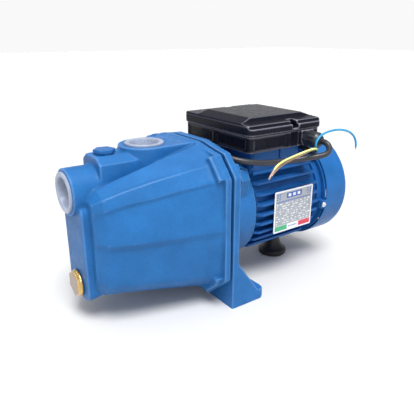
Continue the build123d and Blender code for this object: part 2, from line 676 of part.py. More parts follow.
turned("winding_front", ((22, 34), (25, 33), (34, 33), (34, 47), (25, 47), (22, 45)))
turned("winding_rear", ((104, 33), (113, 33), (116, 34), (116, 45), (113, 47), (104, 47)))
turned("rotor_core", ((STATOR_X[0], 9.5), (STATOR_X[1], 9.5), (STATOR_X[1], 30.5), (STATOR_X[0], 30.5)))
turned(
    "motor_shaft",
    (
        (-62, 0), (-62, 6), (-42, 6), (-42, 7), (-24, 7), (-24, 8.5), (16, 8.5), (16, 9.5),
        (120, 9.5), (120, 7.5), (133, 7.5), (133, 6.5), (156, 6.5), (156, 0),
    ),
)
turned("slinger", ((-17, 8.5), (-13, 8.5), (-13, 11), (-15, 11), (-15, 24), (-17, 24)))
for name, start_x, inner_r, outer_r, width in (
    ("front", FRONT_BEARING_X, 8.5, FRONT_BEARING_R, 12),
    ("rear", REAR_BEARING_X, 7.5, REAR_BEARING_R, 11),
):
    ring = (outer_r - inner_r) * 0.3
    end_x = start_x + width
    turned(
        f"{name}_bearing_inner",
        ((start_x, inner_r), (end_x, inner_r), (end_x, inner_r + ring), (start_x, inner_r + ring)),
    )
    # outer ring with a dust shield at each face, whose lips clear the inner ring
    lip_r = inner_r + ring + 0.35
    turned(
        f"{name}_bearing_outer",
        (
            (start_x, outer_r), (start_x, lip_r), (start_x + 0.8, lip_r), (start_x + 0.8, outer_r - ring),
            (end_x - 0.8, outer_r - ring), (end_x - 0.8, lip_r), (end_x, lip_r), (end_x, outer_r),
        ),
    )

# ---- rear end shield with three lugs for the cover screws ----
COVER_SCREW_X = 128
COVER_SCREW_ANGLES = (90, 188, -8)
SHIELD_SPIGOT_R = 60
SHIELD_HUB_R = 24
LUG_THICK = 10.2
LUG_TOP_R = 66.1
SHIELD_BORE_R = 9
with BuildPart() as rear_end_shield:
    with BuildSketch(axis_plane.offset(HOUSING_BACK_X)):
        Circle(SHIELD_SPIGOT_R)
    extrude(amount=SHIELD_BACK_X - HOUSING_BACK_X)
    with BuildSketch(axis_plane.offset(SHIELD_BACK_X - 2)):
        Circle(SHIELD_R)
    extrude(amount=3)
    with BuildSketch(axis_plane.offset(HOUSING_BACK_X - 3)):
        Circle(HOUSING_BORE_R)
        Circle(HOUSING_BORE_R - 4, mode=Mode.SUBTRACT)
    extrude(amount=3)
    with BuildSketch(axis_plane.offset(REAR_BEARING_X)):
        Circle(SHIELD_HUB_R)
    extrude(amount=SHIELD_BACK_X + 1 - REAR_BEARING_X)
    for angle in COVER_SCREW_ANGLES:
        with BuildSketch(axis_plane.offset(HOUSING_BACK_X)):
            with PolarLocations(LUG_TOP_R - LUG_THICK / 2 - 0.2, 1, start_angle=angle):
                Rectangle(LUG_THICK, 10)
        extrude(amount=9)
    with BuildSketch(axis_plane.offset(HOUSING_BACK_X - 4)):
        Circle(REAR_BEARING_R)
    extrude(amount=13.5, mode=Mode.SUBTRACT)
    with BuildSketch(axis_plane.offset(HOUSING_BACK_X - 4)):
        Circle(SHIELD_BORE_R)
        with PolarLocations(TIE_ROD_RADIUS, 4, start_angle=ROD_ANGLES[0]):
            Circle(TIE_ROD_HOLE_R)
    extrude(amount=20, mode=Mode.SUBTRACT)
    for angle in COVER_SCREW_ANGLES:
        direction = (0, cos(radians(angle)), sin(radians(angle)))
        lug_top = (COVER_SCREW_X, LUG_TOP_R * direction[1], SHAFT_Z + LUG_TOP_R * direction[2])
        with Locations(Plane(origin=lug_top, x_dir=(1, 0, 0), z_dir=direction)):
            Hole(1.8, 8)
rear_end_shield.part.label = "rear_end_shield"
export_step(rear_end_shield.part, "parts/rear_end_shield.step")

for number, angle in enumerate(ROD_ANGLES, 1):
    with BuildPart() as tie_rod:
        with BuildSketch(axis_plane.offset(TIE_ROD_FRONT_X)):
            with PolarLocations(TIE_ROD_RADIUS, 1, start_angle=angle):
                Circle(TIE_ROD_R)
        extrude(amount=SHIELD_BACK_X + 1 - TIE_ROD_FRONT_X)
        with BuildSketch(axis_plane.offset(SHIELD_BACK_X + 1)):
            with PolarLocations(TIE_ROD_RADIUS, 1, start_angle=angle):
                RegularPolygon(3.5, 6, major_radius=False)
        extrude(amount=3)
    tie_rod.part.label = f"tie_rod_{number}"
    export_step(tie_rod.part, f"parts/tie_rod_{number}.step")

# ---- cooling fan and its cover ----
FAN_X = 137
FAN_R = 58
FAN_HUB_R = 13
SHAFT_TAIL_R = 6.5
with BuildPart() as cooling_fan:
    with BuildSketch(axis_plane.offset(FAN_X)):
        Circle(FAN_HUB_R)
    extrude(amount=19)
    with BuildSketch(axis_plane.offset(FAN_X)):
        Circle(FAN_R)
    extrude(amount=2)
    with BuildSketch(axis_plane.offset(FAN_X + 1)):
        with PolarLocations(35, 7):
            Rectangle(46, 2)
    extrude(amount=20)
    with BuildSketch(axis_plane.offset(FAN_X - 7)):
        Circle(SHAFT_TAIL_R)
    extrude(amount=40, mode=Mode.SUBTRACT)
cooling_fan.part.label = "cooling_fan"
export_step(cooling_fan.part, "parts/cooling_fan.step")

COVER_RIM_X = 132.3
COVER_HOOD_X = 124
COVER_BEND_R = 6
SLOT_RADII = (16, 26, 36, 46, 56)
SLOT_HALF_WIDTH = 2.6
with BuildPart() as fan_cover:
    bend_x = COVER_BACK_X - COVER_BEND_R
    bend_r = COVER_R - COVER_BEND_R
    inner_bend = COVER_BEND_R - COVER_WALL
    with BuildSketch(Plane.XZ):
        with BuildLine():
            Polyline((bend_x, SHAFT_Z + COVER_R), (COVER_RIM_X, SHAFT_Z + COVER_R))
            Line((COVER_RIM_X, SHAFT_Z + COVER_R), (COVER_RIM_X, SHAFT_Z + COVER_R - COVER_WALL))
            Line((COVER_RIM_X, SHAFT_Z + COVER_R - COVER_WALL), (bend_x, SHAFT_Z + COVER_R - COVER_WALL))
            RadiusArc(
                (bend_x, SHAFT_Z + bend_r + inner_bend),
                (bend_x + inner_bend, SHAFT_Z + bend_r),
                inner_bend,
            )
            Line((COVER_BACK_X - COVER_WALL, SHAFT_Z + bend_r), (COVER_BACK_X - COVER_WALL, SHAFT_Z))
            Line((COVER_BACK_X - COVER_WALL, SHAFT_Z), (COVER_BACK_X, SHAFT_Z))
            Line((COVER_BACK_X, SHAFT_Z), (COVER_BACK_X, SHAFT_Z + bend_r))
            RadiusArc((COVER_BACK_X, SHAFT_Z + bend_r), (bend_x, SHAFT_Z + COVER_R), -COVER_BEND_R)
        make_face()
    revolve(axis=Axis((0, 0, SHAFT_Z), (1, 0, 0)))
    # hood over the top, from 45 degrees on one side to 45 degrees on the other, and the side screw tabs
    with BuildSketch(axis_plane.offset(COVER_HOOD_X)):
        Circle(COVER_R)
        Circle(COVER_R - COVER_WALL, mode=Mode.SUBTRACT)
        with Locations((0, -COVER_R + COVER_R * sin(pi / 4))):
            Rectangle(2 * COVER_R + 2, 2 * COVER_R, mode=Mode.SUBTRACT)
    extrude(amount=COVER_RIM_X - COVER_HOOD_X)
    with BuildSketch(axis_plane.offset(COVER_HOOD_X)):
        with BuildSketch(mode=Mode.PRIVATE) as tab_sectors:
            for angle in COVER_SCREW_ANGLES[1:]:
                with PolarLocations(COVER_R - 3, 1, start_angle=angle):
                    Rectangle(12, 11)
        Circle(COVER_R)
        Circle(COVER_R - COVER_WALL, mode=Mode.SUBTRACT)
        add(tab_sectors.sketch, mode=Mode.INTERSECT)
    extrude(amount=COVER_RIM_X - COVER_HOOD_X)
    # air slots in the back: rings of slots between six spokes
    for ring_r in SLOT_RADII:
        with BuildSketch(axis_plane.offset(COVER_BACK_X - COVER_WALL - 1)):
            Circle(ring_r + SLOT_HALF_WIDTH)
            Circle(ring_r - SLOT_HALF_WIDTH, mode=Mode.SUBTRACT)
            with PolarLocations(36, 6):
                Rectangle(60, 6, mode=Mode.SUBTRACT)
        extrude(amount=COVER_WALL + 2, mode=Mode.SUBTRACT)
    for angle in COVER_SCREW_ANGLES:
        direction = (0, cos(radians(angle)), sin(radians(angle)))
        hole_r = COVER_R + 2
        hole_top = (COVER_SCREW_X, hole_r * direction[1], SHAFT_Z + hole_r * direction[2])
        with Locations(Plane(origin=hole_top, x_dir=(1, 0, 0), z_dir=direction)):
            Hole(2, 8)
fan_cover.part.label = "fan_cover"
export_step(fan_cover.part, "parts/fan_cover.step")

for number, angle in enumerate(COVER_SCREW_ANGLES, 1):
    direction = (0, cos(radians(angle)), sin(radians(angle)))
    seat = (COVER_SCREW_X, COVER_R * direction[1], SHAFT_Z + COVER_R * direction[2])
    seat_plane = Plane(origin=seat, x_dir=(1, 0, 0), z_dir=direction)
    with BuildPart() as cover_screw:
        with BuildSketch(seat_plane):
            Circle(3.4)
        extrude(amount=1.9)
        fillet(cover_screw.edges().sort_by(Axis(seat, direction))[-1], 1.2)
        with BuildSketch(seat_plane):
            Circle(1.75)
        extrude(amount=-8)
    cover_screw.part.label = f"cover_screw_{number}"
    export_step(cover_screw.part, f"parts/cover_screw_{number}.step")

# ---- rating plate and its rivets, on the tip of the widest fin ----
PLATE_THICK = 0.6
PLATE_Y = -FIN_TIPS[PLATE_FIN]
with BuildPart() as nameplate:
    with BuildSketch(Plane.XZ.offset(-PLATE_Y)):
        with Locations((sum(NAMEPLATE_X) / 2, sum(NAMEPLATE_Z) / 2)):
            RectangleRounded(NAMEPLATE_X[1] - NAMEPLATE_X[0], NAMEPLATE_Z[1] - NAMEPLATE_Z[0], 1.5)
        with Locations(*RIVET_SPOTS):
            Circle(RIVET_R, mode=Mode.SUBTRACT)
    extrude(amount=PLATE_THICK)
nameplate.part.label = "nameplate"
export_step(nameplate.part, "parts/nameplate.step")

for number, (rivet_x, rivet_z) in enumerate(RIVET_SPOTS, 1):
    rivet_plane = Plane(origin=(rivet_x, PLATE_Y - PLATE_THICK, rivet_z), x_dir=(1, 0, 0), z_dir=(0, -1, 0))
    with BuildPart() as rivet:
        with BuildSketch(rivet_plane):
            Circle(1.7)
        extrude(amount=0.8)
        with BuildSketch(rivet_plane):
            Circle(RIVET_R)
        extrude(amount=-4)
    rivet.part.label = f"nameplate_rivet_{number}"
    export_step(rivet.part, f"parts/nameplate_rivet_{number}.step")

# ---- rubber foot under the motor, held by a stud ----
FOOT_STUD_R = 2.9
FOOT_BASE_R = 19
FOOT_NECK_R = 9
with BuildPart() as rubber_foot:
    with BuildSketch(Plane.XZ):
        with BuildLine():
            foot_edge_x = FOOT_REST_X + FOOT_BASE_R
            foot_neck_x = FOOT_REST_X + FOOT_NECK_R
            Polyline((FOOT_REST_X, 0), (foot_edge_x - 2, 0), (foot_edge_x, 2), (foot_edge_x, 7))
            ThreePointArc((foot_edge_x, 7), (FOOT_REST_X + 12, 14), (foot_neck_x, 24))
            Polyline(
                (foot_neck_x, 24),
                (foot_neck_x, FOOT_BOSS_Z[0]),
                (FOOT_REST_X, FOOT_BOSS_Z[0]),
                (FOOT_REST_X, 0),
            )
        make_face()
    revolve(axis=Axis((FOOT_REST_X, 0, 0), (0, 0, 1)))
    with Locations((FOOT_REST_X, 0, FOOT_BOSS_Z[0])):
        Hole(FOOT_STUD_R, 14)
rubber_foot.part.label = "rubber_foot"
export_step(rubber_foot.part, "parts/rubber_foot.step")

with BuildPart() as rubber_foot_stud:
    with BuildSketch(Plane.XY.offset(22)):
        with Locations((FOOT_REST_X, 0)):
            Circle(FOOT_STUD_R)
    extrude(amount=20)
rubber_foot_stud.part.label = "rubber_foot_stud"
export_step(rubber_foot_stud.part, "parts/rubber_foot_stud.step")

# ---- terminal box: base, gasket, lid and two lid screws ----
BOX_CENTRE = (sum(BOX_X) / 2, 0)
BOX_LENGTH = BOX_X[1] - BOX_X[0]
GASKET_THICK = 1
LID_Z = BOX_SPLIT_Z + GASKET_THICK + 0.05
LID_SKIRT_TOP_Z = 194.5
LID_NOTCH_Z = 190
NOTCH_WIDTH = 10
LID_OVERHANG = 1.6
COLUMN_Y = 56.5
SCREW_HOLE_R = 2.1
PANEL_Z = 177
PANEL_HEIGHT = 12
PANEL_DEPTH = 0.8
with BuildPart() as terminal_box_base:
    with BuildSketch(Plane.XY.offset(BOX_Z)):
        with Locations(BOX_CENTRE):
            RectangleRounded(BOX_LENGTH, 2 * BOX_HALF_WIDTH, 6)
    extrude(amount=BOX_SPLIT_Z - BOX_Z)
    with BuildSketch(Plane.XY.offset(BOX_Z + BOX_WALL)):
        with Locations(BOX_CENTRE):
            RectangleRounded(BOX_LENGTH - 2 * BOX_WALL - 1, 2 * (BOX_HALF_WIDTH - BOX_WALL) - 1, 3)
    extrude(amount=BOX_SPLIT_Z - BOX_Z, mode=Mode.SUBTRACT)
    # screw columns inside, with a shallow groove outside each
    with BuildSketch(Plane.XY.offset(BOX_Z)):
        with Locations((LID_SCREW_X, -COLUMN_Y), (LID_SCREW_X, COLUMN_Y)):
            Circle(4.2)
    extrude(amount=BOX_SPLIT_Z - BOX_Z)
    with Locations((LID_SCREW_X, -COLUMN_Y, BOX_SPLIT_Z), (LID_SCREW_X, COLUMN_Y, BOX_SPLIT_Z)):
        Hole(SCREW_HOLE_R, 14)
    # recessed panels in the walls
    for side in (-1, 1):
        with Locations((35, side * BOX_HALF_WIDTH, PANEL_Z)):
            Box(46, 2 * PANEL_DEPTH, PANEL_HEIGHT, mode=Mode.SUBTRACT)
        with Locations((LID_SCREW_X, side * BOX_HALF_WIDTH, PANEL_Z)):
            Box(12, 3 * PANEL_DEPTH, 20, mode=Mode.SUBTRACT)
        with Locations((BOX_X[0], side * 30, PANEL_Z)):
            Box(2 * PANEL_DEPTH, 50, PANEL_HEIGHT, mode=Mode.SUBTRACT)
    # collar round the cable gland, and its hole
    gland_plane = Plane(origin=(GLAND_X, -BOX_HALF_WIDTH + 1, GLAND_Z), x_dir=(1, 0, 0), z_dir=(0, -1, 0))
    with BuildSketch(gland_plane):
        Circle(GLAND_COLLAR_R)
        with Locations((0, (BOX_SPLIT_Z - GLAND_Z) / 2)):
            Rectangle(2 * GLAND_COLLAR_R, BOX_SPLIT_Z - GLAND_Z)
    extrude(amount=2.6)
    with Locations(gland_plane.offset(3)):
        Hole(7.5, 9)
terminal_box_base.part.label = "terminal_box_base"
export_step(terminal_box_base.part, "parts/terminal_box_base.step")

with BuildPart() as box_gasket:
    with BuildSketch(Plane.XY.offset(BOX_SPLIT_Z)):
        with Locations(BOX_CENTRE):
            RectangleRounded(BOX_LENGTH - 0.6, 2 * BOX_HALF_WIDTH - 0.6, 5)
            inner_width = 2 * (BOX_HALF_WIDTH - BOX_WALL)
            RectangleRounded(BOX_LENGTH - 2 * BOX_WALL, inner_width, 3, mode=Mode.SUBTRACT)
    extrude(amount=GASKET_THICK)
box_gasket.part.label = "box_gasket"
export_step(box_gasket.part, "parts/box_gasket.step")

# the lid steps up from the skirt over a near ridge to the raised middle panel, with a lower strip behind it
LID_EDGE_Y = BOX_HALF_WIDTH + LID_OVERHANG
LID_PROFILE = (
    (-LID_EDGE_Y, LID_Z), (-LID_EDGE_Y, LID_SKIRT_TOP_Z), (-61, LID_SKIRT_TOP_Z + 0.5), (-60, 198),
    (-48.5, 199), (-45.5, BOX_TOP_Z), (34, BOX_TOP_Z), (36.5, 199.5), (62, 199.5),
    (LID_EDGE_Y, 197.5), (LID_EDGE_Y, LID_Z),
)
with BuildPart() as terminal_box_lid:
    with BuildSketch(Plane.XY.offset(LID_Z)):
        with Locations(BOX_CENTRE):
            RectangleRounded(BOX_LENGTH + 2 * LID_OVERHANG, 2 * (BOX_HALF_WIDTH + LID_OVERHANG), 7)
    extrude(amount=BOX_TOP_Z - LID_Z)
    with BuildSketch(Plane.YZ.offset(BOX_X[0] - 2)):
        with BuildLine():
            Polyline(*LID_PROFILE, close=True)
        make_face()
    extrude(amount=BOX_LENGTH + 4, mode=Mode.INTERSECT)
    # sloping ends
    with BuildSketch(Plane.XZ.offset(-BOX_HALF_WIDTH - 2)):
        with BuildLine():
            Polyline(
                (BOX_X[0] - 3, 195),
                (BOX_X[0] + 0.5, 199.5),
                (BOX_X[0] + 13.5, BOX_TOP_Z),
                (BOX_X[0] + 13.5, BOX_TOP_Z + 5),
                (BOX_X[0] - 3, BOX_TOP_Z + 5),
                close=True,
            )
        make_face()
        with BuildLine():
            Polyline(
                (BOX_X[1] + 3, 194.5),
                (BOX_X[1] - 0.5, 198.5),
                (BOX_X[1] - 16, BOX_TOP_Z),
                (BOX_X[1] - 16, BOX_TOP_Z + 5),
                (BOX_X[1] + 3, BOX_TOP_Z + 5),
                close=True,
            )
        make_face()
    extrude(amount=2 * BOX_HALF_WIDTH + 4, mode=Mode.SUBTRACT)
    # hollow, screw notches and holes
    with Locations((BOX_CENTRE[0], 0, LID_Z)):
        Box(BOX_LENGTH - 6, 118, 11, align=(Align.CENTER, Align.CENTER, Align.CENTER), mode=Mode.SUBTRACT)
    with Locations((BOX_CENTRE[0], -5.5, LID_Z)):
        Box(BOX_LENGTH - 32, 72, 2 * (BOX_TOP_Z - BOX_WALL - LID_Z), mode=Mode.SUBTRACT)
    # walls round each screw notch, then the notch itself
    for side in (-1, 1):
        with Locations((LID_SCREW_X, side * COLUMN_Y, LID_Z)):
            Box(NOTCH_WIDTH + 4, 11, LID_SKIRT_TOP_Z - LID_Z, align=(Align.CENTER, Align.CENTER, Align.MIN))
        with Locations((LID_SCREW_X, side * BOX_HALF_WIDTH, LID_NOTCH_Z)):
            Box(NOTCH_WIDTH, 22, 20, align=(Align.CENTER, Align.CENTER, Align.MIN), mode=Mode.SUBTRACT)
    with Locations((LID_SCREW_X, -COLUMN_Y, LID_NOTCH_Z), (LID_SCREW_X, COLUMN_Y, LID_NOTCH_Z)):
        Hole(SCREW_HOLE_R, 10)
terminal_box_lid.part.label = "terminal_box_lid"
export_step(terminal_box_lid.part, "parts/terminal_box_lid.step")

for number, screw_y in enumerate((-COLUMN_Y, COLUMN_Y), 1):
    with BuildPart() as lid_screw:
        with BuildSketch(Plane.XY.offset(LID_NOTCH_Z)):
            with Locations((LID_SCREW_X, screw_y)):
                Circle(3.4)
        extrude(amount=2.2)
        fillet(lid_screw.edges().sort_by(Axis.Z)[-1], 0.9)
        with BuildSketch(Plane.XY.offset(LID_NOTCH_Z + 2.2)):
            with Locations((LID_SCREW_X, screw_y)):
                Rectangle(4, 0.8)
                Rectangle(0.8, 4)
        extrude(amount=-1.1, mode=Mode.SUBTRACT)
        with BuildSketch(Plane.XY.offset(LID_NOTCH_Z)):
            with Locations((LID_SCREW_X, screw_y)):
                Circle(1.75)
        extrude(amount=-14)
    lid_screw.part.label = f"lid_screw_{number}"
    export_step(lid_screw.part, f"parts/lid_screw_{number}.step")

BLOCK_X = 60
BLOCK_Y = 34
BLOCK_HEIGHT = 13
with BuildPart() as terminal_block:
    with Locations((BLOCK_X, BLOCK_Y, BOX_Z + BOX_WALL)):
        Box(44, 18, BLOCK_HEIGHT, align=(Align.CENTER, Align.CENTER, Align.MIN))
    with Locations(*((BLOCK_X + step * 14, BLOCK_Y, BOX_Z + BOX_WALL + BLOCK_HEIGHT) for step in (-1, 0, 1))):
        Hole(2.4, 8)
terminal_block.part.label = "terminal_block"
export_step(terminal_block.part, "parts/terminal_block.step")

CAPACITOR_R = 13
CAPACITOR_X = (22, 84)
with BuildPart() as capacitor:
    with BuildSketch(Plane.YZ.offset(CAPACITOR_X[0])):
        with Locations((-12, BOX_Z + BOX_WALL + CAPACITOR_R)):
            Circle(CAPACITOR_R)
    extrude(amount=CAPACITOR_X[1] - CAPACITOR_X[0])
capacitor.part.label = "capacitor"
export_step(capacitor.part, "parts/capacitor.step")

# ---- cable gland on the near wall of the box ----
GLAND_FACE_Y = -BOX_HALF_WIDTH - 1.6
GLAND_NUT_END_Y = -84
GLAND_THREAD_R = 7.3
GLAND_NUT_R = 9
with BuildPart() as gland_body:
    with BuildSketch(Plane.XZ.offset(-GLAND_FACE_Y)):
        with Locations((GLAND_X, GLAND_Z)):
            RegularPolygon(8.5, 6, major_radius=False)
    extrude(amount=6)
    with BuildSketch(Plane.XZ.offset(-GLAND_FACE_Y - 7)):
        with Locations((GLAND_X, GLAND_Z)):
            Circle(GLAND_THREAD_R)
    extrude(amount=18)
gland_body.part.label = "gland_body"
export_step(gland_body.part, "parts/gland_body.step")

with BuildPart() as gland_nut:
    with BuildSketch(Plane.XZ.offset(-GLAND_FACE_Y + 6)):
        with Locations((GLAND_X, GLAND_Z)):
            Circle(GLAND_NUT_R)
    extrude(amount=-GLAND_NUT_END_Y + GLAND_FACE_Y - 6)
    chamfer(gland_nut.faces().sort_by(Axis.Y)[0].edges(), 3, 2.5)
    with BuildSketch(Plane.XZ.offset(-GLAND_FACE_Y + 5)):
        with Locations((GLAND_X, GLAND_Z)):
            Circle(GLAND_THREAD_R)
    extrude(amount=6, mode=Mode.SUBTRACT)
    # grip ribs round the nut
    with BuildSketch(Plane.XZ.offset(-GLAND_FACE_Y + 6)):
        with Locations((GLAND_X, GLAND_Z)):
            with PolarLocations(GLAND_NUT_R, 12):
                Rectangle(1, 1.6)
    extrude(amount=9)
gland_nut.part.label = "gland_nut"
export_step(gland_nut.part, "parts/gland_nut.step")


# ---- cable and its three cores ----
def bend_radii(points):
    """Radius at each inner point: 0.45 of the shorter run beside it, over the tangent of half the turn."""
    radii = []
    for before, corner, after in zip(points, points[1:], points[2:]):
        arriving = Vector(*corner) - Vector(*before)
        leaving = Vector(*after) - Vector(*corner)
        half_turn = radians(arriving.get_angle(leaving) / 2)
        radii.append(0.45 * min(arriving.length, leaving.length) / tan(half_turn))
    return radii


def cord_tube(name, points, diameter):
    """Round tube along straight runs joined by tangent arcs."""
    radii = bend_radii(points)
    with BuildPart() as tube:
        with BuildLine() as route:
            FilletPolyline(*points, radius=radii)
        with BuildSketch(Plane(origin=route.line @ 0, z_dir=route.line % 0)):
            Circle(diameter / 2)
        sweep()
    tube.part.label = name
    export_step(tube.part, f"parts/{name}.step")
    length = sum(edge.length for edge in route.line.edges())
    expected = pi * diameter**2 / 4 * length
    print(name, f"length {length:.0f} mm, volume ratio {tube.part.volume / expected:.4f}, radii",
          [round(radius) for radius in radii])


CABLE_POINTS = [
    (92, GLAND_NUT_END_Y, 176), (92, -89.5, 176), (92.7, -94.8, 174.3), (93, -98, 169.8),
    (90.5, -98.3, 164.8), (84.5, -94.6, 161.9), (75, -88, 160), (60, -78.5, 157.4), (41, -71, 156.2),
    (20, -67.5, 157.4),
    (1, -62, 160.5), (-12, -50, 164), (-18, -32, 166), (-19, -8, 166.6), (-18, 18, 166.3), (-12, 41, 164.5),
    (0, 58, 161.5), (18, 67, 159), (42, 70, 158), (66, 68.5, 158.5), (88, 61.5, 160), (103, 46, 161.2),
    (108.5, 23, 161.6), (109, -4, 161.4), (107, -31, 161), (102.5, -53, 160.2), (96.5, -68.5, 160.2),
    (90.5, -78, 161.6), (84.8, -84.5, 164.8), (79.5, -89, 169.3),
]
BLUE_POINTS = [
    (80.2, -88.5, 170.7), (77.4, -90.8, 173), (76.2, -92, 177), (78, -92.3, 181), (83, -92, 184.5),
    (91, -91.5, 186.8), (103, -91, 188), (116, -90.6, 187.4), (128, -90.3, 185), (139, -90, 180.5),
    (147, -89.8, 173.5), (150.3, -89.8, 165.5), (150, -90, 159.6),
]
GREEN_YELLOW_POINTS = [
    (80, -90.3, 168.6), (75.5, -93.5, 171), (66, -94, 171.3), (54, -92.5, 168.8), (40, -91, 165.7),
    (28, -90.3, 162.8), (18, -90, 158), (9.5, -89.5, 146.5),
]
BROWN_POINTS = [
    (78.3, -88.2, 168.6), (73.3, -91, 170.2), (65, -91, 168.6), (54, -89.3, 165.2), (41, -88.3, 162.1),
    (30, -88, 158.8), (20.5, -88, 154), (11.5, -88, 145),
]
cord_tube("power_cable", CABLE_POINTS, CABLE_DIAMETER)
for name, points in (("blue", BLUE_POINTS), ("green_yellow", GREEN_YELLOW_POINTS), ("brown", BROWN_POINTS)):
    cord_tube(f"core_{name}", points, CORE_DIAMETER)
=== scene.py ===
from math import cos, pi, radians, sin

import bmesh
import bpy
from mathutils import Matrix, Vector


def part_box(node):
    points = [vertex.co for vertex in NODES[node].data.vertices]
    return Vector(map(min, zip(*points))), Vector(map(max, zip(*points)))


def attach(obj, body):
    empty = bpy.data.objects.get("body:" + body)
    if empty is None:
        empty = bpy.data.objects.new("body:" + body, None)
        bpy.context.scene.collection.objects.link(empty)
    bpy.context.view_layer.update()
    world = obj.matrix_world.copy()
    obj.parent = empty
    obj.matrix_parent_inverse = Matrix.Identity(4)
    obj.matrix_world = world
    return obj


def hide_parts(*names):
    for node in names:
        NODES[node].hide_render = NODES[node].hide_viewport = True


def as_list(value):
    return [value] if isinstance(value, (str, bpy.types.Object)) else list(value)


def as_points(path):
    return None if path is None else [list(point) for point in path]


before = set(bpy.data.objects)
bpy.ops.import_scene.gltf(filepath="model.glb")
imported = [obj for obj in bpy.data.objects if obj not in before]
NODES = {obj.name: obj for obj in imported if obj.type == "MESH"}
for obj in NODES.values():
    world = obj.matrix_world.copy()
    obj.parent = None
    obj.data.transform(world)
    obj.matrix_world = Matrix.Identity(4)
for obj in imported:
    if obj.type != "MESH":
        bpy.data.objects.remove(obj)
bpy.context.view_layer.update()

MM = 0.001
NOISE_LOW = 0.3
NOISE_HIGH = 0.7


# ---- node helpers ----
def material(name):
    """A new node material and its Principled shader."""
    mat = bpy.data.materials.new(name)
    mat.use_nodes = True
    return mat, mat.node_tree.nodes["Principled BSDF"]


def link(mat, source, target):
    mat.node_tree.links.new(source, target)


def node(mat, kind, **settings):
    made = mat.node_tree.nodes.new(kind)
    for key, value in settings.items():
        if key in made.inputs:
            made.inputs[key].default_value = value
        else:
            setattr(made, key, value)
    return made


def placed(mat, stretch=(1, 1, 1)):
    """The object's own coordinates, in metres, stretched along each axis."""
    mapping = node(mat, "ShaderNodeMapping")
    mapping.inputs["Scale"].default_value = stretch
    link(mat, node(mat, "ShaderNodeTexCoord").outputs["Object"], mapping.inputs["Vector"])
    return mapping.outputs["Vector"]


def noise(mat, scale, detail=3.0, roughness=0.55, stretch=(1, 1, 1)):
    made = node(mat, "ShaderNodeTexNoise", Scale=scale, Detail=detail, Roughness=roughness)
    link(mat, placed(mat, stretch), made.inputs["Vector"])
    return made.outputs["Fac"]


def ramp(mat, value, stops):
    """Colour ramp from (position, colour) stops; a number stands for a grey."""
    made = node(mat, "ShaderNodeValToRGB")
    band = made.color_ramp
    while len(band.elements) < len(stops):
        band.elements.new(0.5)
    for element, (position, colour) in zip(band.elements, stops):
        element.position = position
        element.color = (*colour, 1) if isinstance(colour, tuple) else (colour, colour, colour, 1)
    link(mat, value, made.inputs["Fac"])
    return made.outputs["Color"]


def spread(mat, value, low, high):
    """A noise value whose usual span, 0.3 to 0.7, is moved to run from low to high."""
    made = node(mat, "ShaderNodeMapRange")
    limits = {"From Min": NOISE_LOW, "From Max": NOISE_HIGH, "To Min": low, "To Max": high}
    for key, number in limits.items():
        made.inputs[key].default_value = number
    link(mat, value, made.inputs["Value"])
    return made.outputs["Result"]


def rough(mat, shader, value, low, high):
    """Roughness that follows a noise value from low to high."""
    link(mat, spread(mat, value, low, high), shader.inputs["Roughness"])


def mixed(mat, factor, first, second, blend="MIX"):
    """Colour mix; factor, first and second are outputs, colours or numbers."""
    made = node(mat, "ShaderNodeMix", data_type="RGBA", blend_type=blend)
    for index, value in ((0, factor), (6, first), (7, second)):
        if isinstance(value, bpy.types.NodeSocket):
            link(mat, value, made.inputs[index])
        elif isinstance(value, tuple):
            made.inputs[index].default_value = (*value, 1)
        else:
            made.inputs[index].default_value = value
    return made.outputs[2]


def bump(mat, shader, layers, edge=0.0):
    """Stacks (height, strength, distance) bumps under the shader's normal; edge rounds edges, in mm."""
    last = None
    if edge:
        last = node(mat, "ShaderNodeBevel", samples=4, Radius=edge * MM).outputs["Normal"]
    for height, strength, distance in layers:
        made = node(mat, "ShaderNodeBump", Strength=strength, Distance=distance)
        link(mat, height, made.inputs["Height"])
        if last:
            link(mat, last, made.inputs["Normal"])
        last = made.outputs["Normal"]
    link(mat, last, shader.inputs["Normal"])


def shade(colour, factor):
    return tuple(min(1, channel * factor) for channel in colour)


def pits(mat, scale, size):
    """Small round pits as a 0..1 height; size is their outer radius in cells."""
    cells = node(mat, "ShaderNodeTexVoronoi", Scale=scale)
    link(mat, placed(mat), cells.inputs["Vector"])
    return ramp(mat, cells.outputs["Distance"], [(size * 0.4, 0.0), (size, 1.0)])


def painted_highlight_and_corner_shade(mat, colour, painted_light, highlight_colour=(0.35, 0.55, 0.85)):
    """Painted light: a highlight where the surface stands out and painted shade in its corners."""
    sharpness = node(mat, "ShaderNodeNewGeometry").outputs["Pointiness"]
    corner_shade = ramp(mat, sharpness, [(0.44, 1.0 - painted_light), (0.5, 1.0)])
    shaded_tint = mixed(mat, 1.0, colour, corner_shade, "MULTIPLY")
    edge_highlight = ramp(mat, sharpness, [(0.51, 0.0), (0.555, 0.6 * painted_light)])
    return mixed(mat, edge_highlight, shaded_tint, highlight_colour)


# ---- materials ----
CAST_BLUE = (0.018, 0.138, 0.390)
MOTOR_BLUE = (0.012, 0.100, 0.335)
COVER_BLUE = (0.014, 0.120, 0.360)


